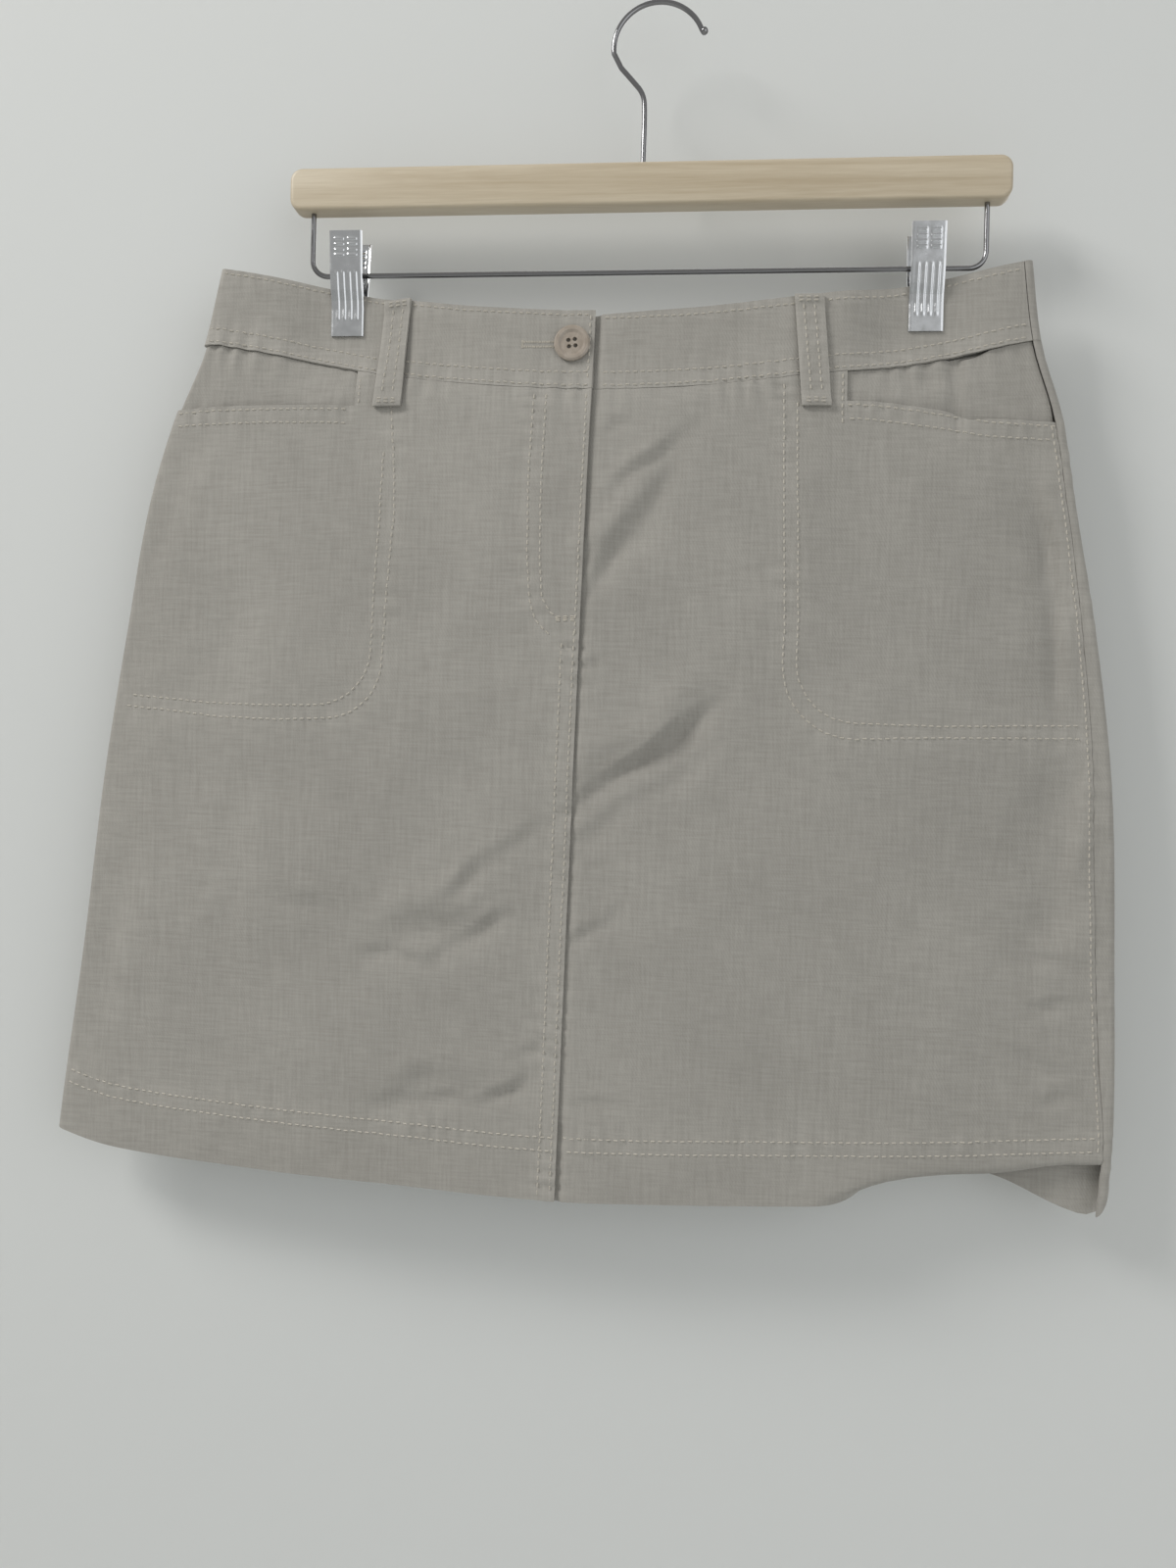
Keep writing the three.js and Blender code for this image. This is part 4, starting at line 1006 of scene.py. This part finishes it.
def all_stitching():
    fronts = [find_piece(n) for n in ("front_panel_right", "front_panel_left", "waistband_front_right",
                                      "waistband_front_left", "pocket_facing_right", "pocket_facing_left")]
    band_top = line_from(waist, -219, -30, -2.2)
    band_top_left = line_from(waist, -24, 181, -3.6)
    stitches("stitching_waistband", [
        band_top, band_top_left,
        line_from(band_seam, -226, -30, 8.2), line_from(band_seam, -226, -30, 1.8),
        line_from(band_seam, -24, 185, 8.2), line_from(band_seam, -24, 185, 1.8),
        centre_line(-2.2, -157, -192),
    ], fronts)
    tack = [[(-44 + 13 * t, -306.5 + 0.9 * s)] for s in (-1, 0, 1) for t in (0, 1)]
    tacks = [[tack[i][0], tack[i + 1][0]] for i in (0, 2, 4)]
    stitches("stitching_fly", [
        FLY_OUTER, FLY_INNER, CENTRE_EDGE, CENTRE_LOW, centre_line(-2.2, -196, -318), *tacks,
    ], fronts)
    stitches("stitching_pockets", [
        MOUTH_RIGHT, MOUTH_RIGHT_LOW, MOUTH_LEFT, MOUTH_LEFT_LOW,
        BAG_RIGHT_OUTER, BAG_RIGHT_INNER, BAG_LEFT_OUTER, BAG_LEFT_INNER,
        [(-145.5, -186), (-145.5, -203)], [(92, -186), (92, -214)],
    ], fronts)
    stitches("stitching_hem", [HEM_HIGH, HEM_LOW, side_line(-2.2, -206, -560)], fronts)
    rows = []
    for high, low in ((-127, -130.5), (75, 79.5)):
        top = float(waist(high)) - 2
        bottom = float(waist(high)) - BAND_HEIGHT - 14
        for by in (-2.6, 2.6):
            rows.append([(high + by, top - 3), (low + by, bottom + 3)])
        for z in (top, top - 1.6, bottom, bottom + 1.6):
            x = high if z > -170 else low
            rows.append([(x - 5.5, z), (x + 5.5, z)])
    stitches("stitching_loops", rows, [find_piece("belt_loop_front_right"), find_piece("belt_loop_front_left")])
    backs = [find_piece("back_panel"), find_piece("waistband_back")]
    stitches("stitching_back", [
        line_from(waist, -214, 178, -2.2), line_from(band_seam, -218, 178, 8.2),
        line_from(band_seam, -218, 178, 1.8), line_from(back_hem, -288, 220, HEM_DEPTH),
        line_from(back_hem, -288, 220, HEM_DEPTH - 6.5),
    ], backs, "back")
    # The buttonhole: two bars of close satin stitch with tacked ends.
    holes = [[(-64 + 0.55 * n, -173.6), (-64 + 0.55 * n, -171.9)] for n in range(34)]
    holes += [[(-64 + 0.55 * n, -171.2), (-64 + 0.55 * n, -169.5)] for n in range(34)]
    holes += [[(-64.6, -169.6 - 0.5 * n), (-62.4, -169.6 - 0.5 * n)] for n in range(8)]
    stitches("stitching_buttonhole", [[a, (a[0] + 1e-3, b[1]), b] for a, b in holes], fronts,
             length=1.6, pitch=1.65, width=0.5)


# ------------------------------------------------------------------ hard pieces

def tube(points, radius, sides=16):
    """A round wire along points in the hanger's plane."""
    points = np.asarray(points, float)
    ahead = np.gradient(points, axis=0)
    ahead /= np.linalg.norm(ahead, axis=1, keepdims=True)
    depth = np.array([0, 1.0, 0])
    vertices = []
    for point, along_wire in zip(points, ahead):
        out = np.cross(along_wire, depth)
        for n in range(sides):
            turn = 2 * math.pi * n / sides
            vertices.append(point + radius * (math.cos(turn) * out + math.sin(turn) * depth))
    faces = []
    for i in range(len(points) - 1):
        for n in range(sides):
            m = (n + 1) % sides
            faces.append((i * sides + n, i * sides + m, (i + 1) * sides + m, (i + 1) * sides + n))
    faces.append(tuple(range(sides))[::-1])
    faces.append(tuple((len(points) - 1) * sides + n for n in range(sides)))
    return vertices, faces


def rounded_path(corners, count=220):
    """A smooth path through corner points, by repeated corner cutting."""
    points = np.asarray(corners, float)
    for _ in range(4):
        cut = [points[0]]
        for a, b in zip(points[:-1], points[1:]):
            cut += [mix(a, b, 0.25), mix(a, b, 0.75)]
        points = np.array(cut + [points[-1]])
    return points


def recalculate(piece):
    select_only(piece)
    bpy.ops.object.mode_set(mode="EDIT")
    bpy.ops.mesh.select_all(action="SELECT")
    bpy.ops.mesh.normals_make_consistent(inside=False)
    bpy.ops.object.mode_set(mode="OBJECT")
    bpy.ops.object.shade_smooth_by_angle(angle=math.radians(40))


def wires():
    colours = bpy.context.scene.skort_colours
    steel = plated_steel("polished_plated_wire", colours.wire, 0.16)
    lead = [(-7.5, 0, -89), (-7.3, 0, -80), (-6.9, 0, -50), (-8.2, 0, -43.5), (-13.4, 0, -37.4), (-19.4, 0, -30.6)]
    lead = rounded_path(lead)
    turns = np.radians(np.linspace(187, 21, 60))
    ring = np.stack([-0.6 + 22.4 * np.cos(turns), 0 * turns, -21.05 + 22.4 * np.sin(turns)], 1)
    path = np.concatenate([lead[:-4], ring, [ring[-1] + [1.2, 0, -0.6]]])
    vertices, faces = tube(path, 1.3)
    hook = new_mesh_object("hook_wire", vertices, faces)
    recalculate(hook)
    bpy.ops.object.select_all(action="DESELECT")
    tip = path[-1] * MM
    bpy.ops.mesh.primitive_uv_sphere_add(segments=24, ring_count=16, radius=1.95 * MM, location=tip)
    ball = bpy.context.active_object
    bpy.ops.object.transform_apply(location=True, rotation=True, scale=True)
    bpy.ops.object.shade_smooth()
    hook.select_set(True)
    bpy.context.view_layer.objects.active = hook
    bpy.ops.object.join()
    settle(hook, "chrome_wire", steel, "hanger_hook")
    centre, half, radius = -6.9, 166.7, 8.0
    arm = [(centre - half, 0, -91)]
    for turn in np.radians(np.linspace(180, 270, 12)):
        arm.append((centre - half + radius + radius * math.cos(turn), 0, ROD_Z + radius + radius * math.sin(turn)))
    other = [(2 * centre - x, y, z) for x, y, z in reversed(arm)]
    vertices, faces = tube(arm + other, 1.3)
    rod = new_mesh_object("trouser_rod", vertices, faces)
    recalculate(rod)
    settle(rod, "chrome_wire", steel, "hanger_rod")


def bar():
    low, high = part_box("hanger_bar")
    bpy.ops.object.select_all(action="DESELECT")
    middle = [(a + b) / 2 for a, b in zip(low, high)]
    bpy.ops.mesh.primitive_cube_add(size=1, location=middle)
    piece = bpy.context.active_object
    piece.name = "wooden_bar"
    piece.scale = [b - a for a, b in zip(low, high)]
    bpy.ops.object.transform_apply(location=True, rotation=True, scale=True)
    bpy.ops.object.mode_set(mode="EDIT")
    bpy.ops.mesh.select_mode(type="EDGE")
    bpy.ops.mesh.select_all(action="DESELECT")
    bpy.ops.object.mode_set(mode="OBJECT")
    for edge in piece.data.edges:
        a, b = (piece.data.vertices[i].co for i in edge.vertices)
        edge.select = abs(a.x - b.x) < 1e-6 and abs(a.z - b.z) < 1e-6
    bpy.ops.object.mode_set(mode="EDIT")
    bpy.ops.mesh.bevel(offset=6 * MM, segments=8)
    bpy.ops.object.mode_set(mode="OBJECT")
    edge = piece.modifiers.new("edge", "BEVEL")
    edge.width = 1.8 * MM
    edge.segments = 4
    edge.limit_method = "ANGLE"
    bpy.ops.object.modifier_apply(modifier="edge")
    bpy.ops.object.shade_smooth_by_angle(angle=math.radians(35))
    colours = bpy.context.scene.skort_colours
    settle(piece, "wood", lacquered_hardwood("lacquered_hardwood", colours.wood, colours.wood_grain), "hanger_bar")


def clip_plate(name, place, towards):
    """A pressed plate with grip bars at the top and ribs below, bent in at the jaw."""
    profile_z = np.array([-113, -120, -132.5, -141, -146, -150, -163.6])
    profile_y = np.array([9.2, 8.15, 7, 4.6, 2.8, 2.1, 2.1])
    zs = np.linspace(-113, -163.6, 90)
    ys = np.interp(-zs, -profile_z, profile_y)
    xs = np.linspace(-8.2, 8.2, 58)
    grid = np.empty((len(zs), len(xs), 3))
    order = xs if towards < 0 else xs[::-1]
    grid[..., 0] = place + order[None, :]
    grid[..., 1] = towards * ys[:, None]
    grid[..., 2] = zs[:, None]
    u, w = order[None, :], zs[:, None]
    emboss = np.zeros(grid.shape[:2])
    for side in (-3.3, 3.3):
        for n in range(4):
            flat = (1 - smooth(2.0, 2.7, np.abs(u - side))) * (1 - smooth(0.35, 0.8, np.abs(w + 117 + 2.6 * n)))
            emboss = np.maximum(emboss, flat)
    for rib in (-4.8, -1.6, 1.6, 4.8):
        flat = (1 - smooth(0.4, 0.95, np.abs(u - rib))) * (1 - smooth(10.5, 12, np.abs(w + 144)))
        emboss = np.maximum(emboss, flat)
    side = smooth(8.2, 7.4, np.abs(u))
    piece = shell(name, grid, 0.9 + 0.45 * emboss - 0.35 * (1 - side), 0.9)
    colours = bpy.context.scene.skort_colours
    settle(piece, "chrome_clip", plated_steel("bright_pressed_chrome", colours.clip, 0.2), name.replace("_pressed", ""))


def clips():
    colours = bpy.context.scene.skort_colours
    steel = plated_steel("polished_plated_wire", colours.wire, 0.16)
    for side, place in CLIPS.items():
        clip_plate(f"clip_{side}_front_plate_pressed", place, -1)
        clip_plate(f"clip_{side}_back_plate_pressed", place, 1)
        turns = np.linspace(0, 2 * math.pi * 6, 180)
        coil = np.stack([place - 4.6 + 9.2 * turns / turns[-1], 5.2 * np.cos(turns), ROD_Z + 5.2 * np.sin(turns)], 1)
        vertices, faces = [], []
        sides = 8
        ahead = np.gradient(coil, axis=0)
        ahead /= np.linalg.norm(ahead, axis=1, keepdims=True)
        for point, heading in zip(coil, ahead):
            out = point - np.array([point[0], 0, ROD_Z])
            out /= np.linalg.norm(out)
            across = np.cross(heading, out)
            vertices += [point + 0.62 * (math.cos(t) * out + math.sin(t) * across)
                         for t in np.linspace(0, 2 * math.pi, sides, endpoint=False)]
        for i in range(len(coil) - 1):
            for n in range(sides):
                m = (n + 1) % sides
                faces.append((i * sides + n, i * sides + m, (i + 1) * sides + m, (i + 1) * sides + n))
        faces.append(tuple(range(sides)))
        faces.append(tuple((len(coil) - 1) * sides + n for n in range(sides))[::-1])
        spring = new_mesh_object(f"clip_{side}_coil", vertices, faces)
        recalculate(spring)
        settle(spring, "chrome_wire", steel, f"clip_{side}_spring")


def sewn_button():
    colours = bpy.context.scene.skort_colours
    node = next(o for name, o in ((o.name, o) for o in bpy.data.objects) if name == "button")
    node.data.materials.clear()
    node.data.materials.append(button_resin("cast_button_resin", colours.button, colours.button_dark))
    low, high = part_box("button")
    x, z = (low[0] + high[0]) / 2 / MM, (low[2] + high[2]) / 2 / MM
    rows = []
    for by in (-0.35, 0, 0.35):
        rows.append([(x - 0.75, z + 1.6 + by), (x + 0.75, z + 1.6 + by)])
        rows.append([(x - 0.75, z - 1.6 + by), (x + 0.75, z - 1.6 + by)])
    stitches("button_thread", rows, [node], length=0.9, pitch=1.49, width=0.5)


# ------------------------------------------------------------------ stage

def stage_material(name, colour, backfacing):
    """Matt pale paint that holds the background's tone to the camera."""
    material, tree = start_material(name)
    if tree is None:
        return material
    paint = add_node(tree, "ShaderNodeBsdfPrincipled", {"Base Color": linear(colour), "Roughness": 0.9,
                                                        "Specular IOR Level": 0.1})
    surface = paint.outputs["BSDF"]
    if backfacing:
        facing = add_node(tree, "ShaderNodeNewGeometry")
        clear = add_node(tree, "ShaderNodeBsdfTransparent")
        surface = add_node(tree, "ShaderNodeMixShader", links={
            0: facing.outputs["Backfacing"], 1: surface, 2: clear.outputs["BSDF"]}).outputs["Shader"]
    add_node(tree, "ShaderNodeOutputMaterial", links={"Surface": surface})
    return material


def lamp(name, size, power, location, target, colour):
    data = bpy.data.lights.new(name, "AREA")
    data.shape = "RECTANGLE"
    data.size, data.size_y = size
    data.energy = power
    data.color = colour
    light = bpy.data.objects.new(name, data)
    bpy.context.scene.collection.objects.link(light)
    light.location = location
    from mathutils import Vector
    light.rotation_euler = (Vector(target) - Vector(location)).to_track_quat("-Z", "Y").to_euler()


def build_stage():
    scene = bpy.context.scene
    bpy.ops.object.select_all(action="DESELECT")
    bpy.ops.mesh.primitive_plane_add(size=1, location=(0, 0.030, -0.4), rotation=(math.radians(90), 0, 0))
    wall = bpy.context.active_object
    wall.name = "stage_wall"
    wall.scale = (6, 4, 1)
    bpy.ops.object.transform_apply(location=True, rotation=True, scale=True)
    wall.data.materials.append(stage_material("painted_wall", scene.skort_colours.wall, True))
    bpy.ops.object.select_all(action="DESELECT")
    bpy.ops.mesh.primitive_plane_add(size=8, location=(0, 0, -1.3))
    floor = bpy.context.active_object
    floor.name = "stage_floor"
    floor.data.materials.append(stage_material("pale_floor", scene.skort_colours.wall, False))
    # The wall takes the object's shadow, but keeps no light from the back of it.
    wall.visible_shadow = wall.visible_diffuse = wall.visible_glossy = False
    lamp("key", (0.9, 0.7), 36, (-1.7, -1.15, 1.25), (0, 0, -0.35), (1.0, 0.985, 0.96))
    lamp("fill", (2.2, 2.2), 13, (1.5, -1.8, -0.1), (0, 0, -0.35), (0.97, 0.985, 1.0))
    lamp("back", (2.0, 2.0), 14, (0.6, 2.2, 0.9), (0, 0, -0.3), (1.0, 1.0, 1.0))
    world = bpy.data.worlds.new("soft_room")
    scene.world = world
    world.use_nodes = True
    background = world.node_tree.nodes["Background"]
    background.inputs["Color"].default_value = linear("#e9e9e6")
    background.inputs["Strength"].default_value = 0.52
    scene.view_settings.view_transform = "Standard"
    camera_data = bpy.data.cameras.new("camera")
    camera = bpy.data.objects.new("camera", camera_data)
    scene.collection.objects.link(camera)
    scene.camera = camera
    camera_data.sensor_fit = "AUTO"
    camera_data.sensor_width = 36
    camera_data.lens = 31.6
    camera_data.clip_start = 0.01
    camera.location = (0.0378, -0.6803, -0.3862)
    from mathutils import Matrix
    yaw, roll = math.radians(5.5), math.radians(-1.3)
    turn = Matrix.Rotation(yaw, 4, "Z") @ Matrix.Rotation(math.radians(90), 4, "X")
    camera.rotation_euler = (turn @ Matrix.Rotation(-roll, 4, "Z")).to_euler()


# ------------------------------------------------------------------ add-on layout

class SkortColours(bpy.types.PropertyGroup):
    cloth: bpy.props.StringProperty(name="Cloth", description="Washed khaki cotton, sRGB hex", default="#9a9791")
    cloth_light: bpy.props.StringProperty(name="Cloth light", description="Yarn highlights", default="#aba8a2")
    cloth_dark: bpy.props.StringProperty(name="Cloth dark", description="Gaps between yarns", default="#93908a")
    thread: bpy.props.StringProperty(name="Thread", description="Topstitching thread", default="#bdb8ae")
    wood: bpy.props.StringProperty(name="Wood", description="Pale wood", default="#cbbfa9")
    wood_grain: bpy.props.StringProperty(name="Wood grain", description="Darker growth lines", default="#b3a48b")
    wire: bpy.props.StringProperty(name="Wire", description="Plated wire", default="#8c8c8e")
    clip: bpy.props.StringProperty(name="Clip", description="Bright chrome", default="#d0d2d5")
    button: bpy.props.StringProperty(name="Button", description="Button resin", default="#aca297")
    button_dark: bpy.props.StringProperty(name="Button cloud", description="Cloud in the resin", default="#978c80")
    wall: bpy.props.StringProperty(name="Wall", description="Pale painted wall", default="#d6d8d7")


class MakePanels(bpy.types.Operator):
    """Skirt fronts, pocket facings and back"""
    bl_idname = "skort.make_panels"
    bl_label = "Skirt panels"

    def execute(self, context):
        skirt_front()
        skirt_back()
        waistbands()
        return {"FINISHED"}


class MakeLoops(bpy.types.Operator):
    """Belt loops over the waistband"""
    bl_idname = "skort.make_loops"
    bl_label = "Belt loops"

    def execute(self, context):
        belt_loops()
        return {"FINISHED"}


class MakeInside(bpy.types.Operator):
    """Underlap and plain inner shorts"""
    bl_idname = "skort.make_inside"
    bl_label = "Inner pieces"

    def execute(self, context):
        inner_pieces()
        return {"FINISHED"}


class MakeStitching(bpy.types.Operator):
    """All rows of topstitching, tacks and the buttonhole"""
    bl_idname = "skort.make_stitching"
    bl_label = "Stitching"

    def execute(self, context):
        all_stitching()
        sewn_button()
        return {"FINISHED"}


class MakeHanger(bpy.types.Operator):
    """Wooden bar, hook, rod and clips"""
    bl_idname = "skort.make_hanger"
    bl_label = "Hanger"

    def execute(self, context):
        bar()
        wires()
        clips()
        return {"FINISHED"}


class MakeStage(bpy.types.Operator):
    """Pale wall and floor, soft lamps and the camera"""
    bl_idname = "skort.make_stage"
    bl_label = "Stage"

    def execute(self, context):
        build_stage()
        return {"FINISHED"}




class DeclareSheets(bpy.types.Operator):
    """Does nothing: no flat cut of any cloth piece is made."""
    bl_idname = "skort.declare_sheets"
    bl_label = "Flat cuts"

    def execute(self, context):
        return {"FINISHED"}


OPERATORS = (MakePanels, MakeLoops, MakeInside, MakeStitching, MakeHanger, DeclareSheets, MakeStage)


class SkortPanel(bpy.types.Panel):
    """Buttons that build the skort piece by piece"""
    bl_idname = "VIEW3D_PT_skort"
    bl_label = "Skort"
    bl_space_type = "VIEW_3D"
    bl_region_type = "UI"
    bl_category = "Skort"

    def draw(self, context):
        for operator in OPERATORS:
            self.layout.operator(operator.bl_idname)


def register():
    bpy.utils.register_class(SkortColours)
    for operator in OPERATORS:
        bpy.utils.register_class(operator)
    bpy.utils.register_class(SkortPanel)
    bpy.types.Scene.skort_colours = bpy.props.PointerProperty(type=SkortColours)


def unregister():
    del bpy.types.Scene.skort_colours
    bpy.utils.unregister_class(SkortPanel)
    for operator in reversed(OPERATORS):
        bpy.utils.unregister_class(operator)
    bpy.utils.unregister_class(SkortColours)


def main():
    register()
    bpy.ops.skort.make_panels()
    bpy.ops.skort.make_loops()
    bpy.ops.skort.make_inside()
    bpy.ops.skort.make_stitching()
    bpy.ops.skort.make_hanger()
    bpy.ops.skort.declare_sheets()
    bpy.ops.skort.make_stage()


if __name__ == "__main__":
    main()
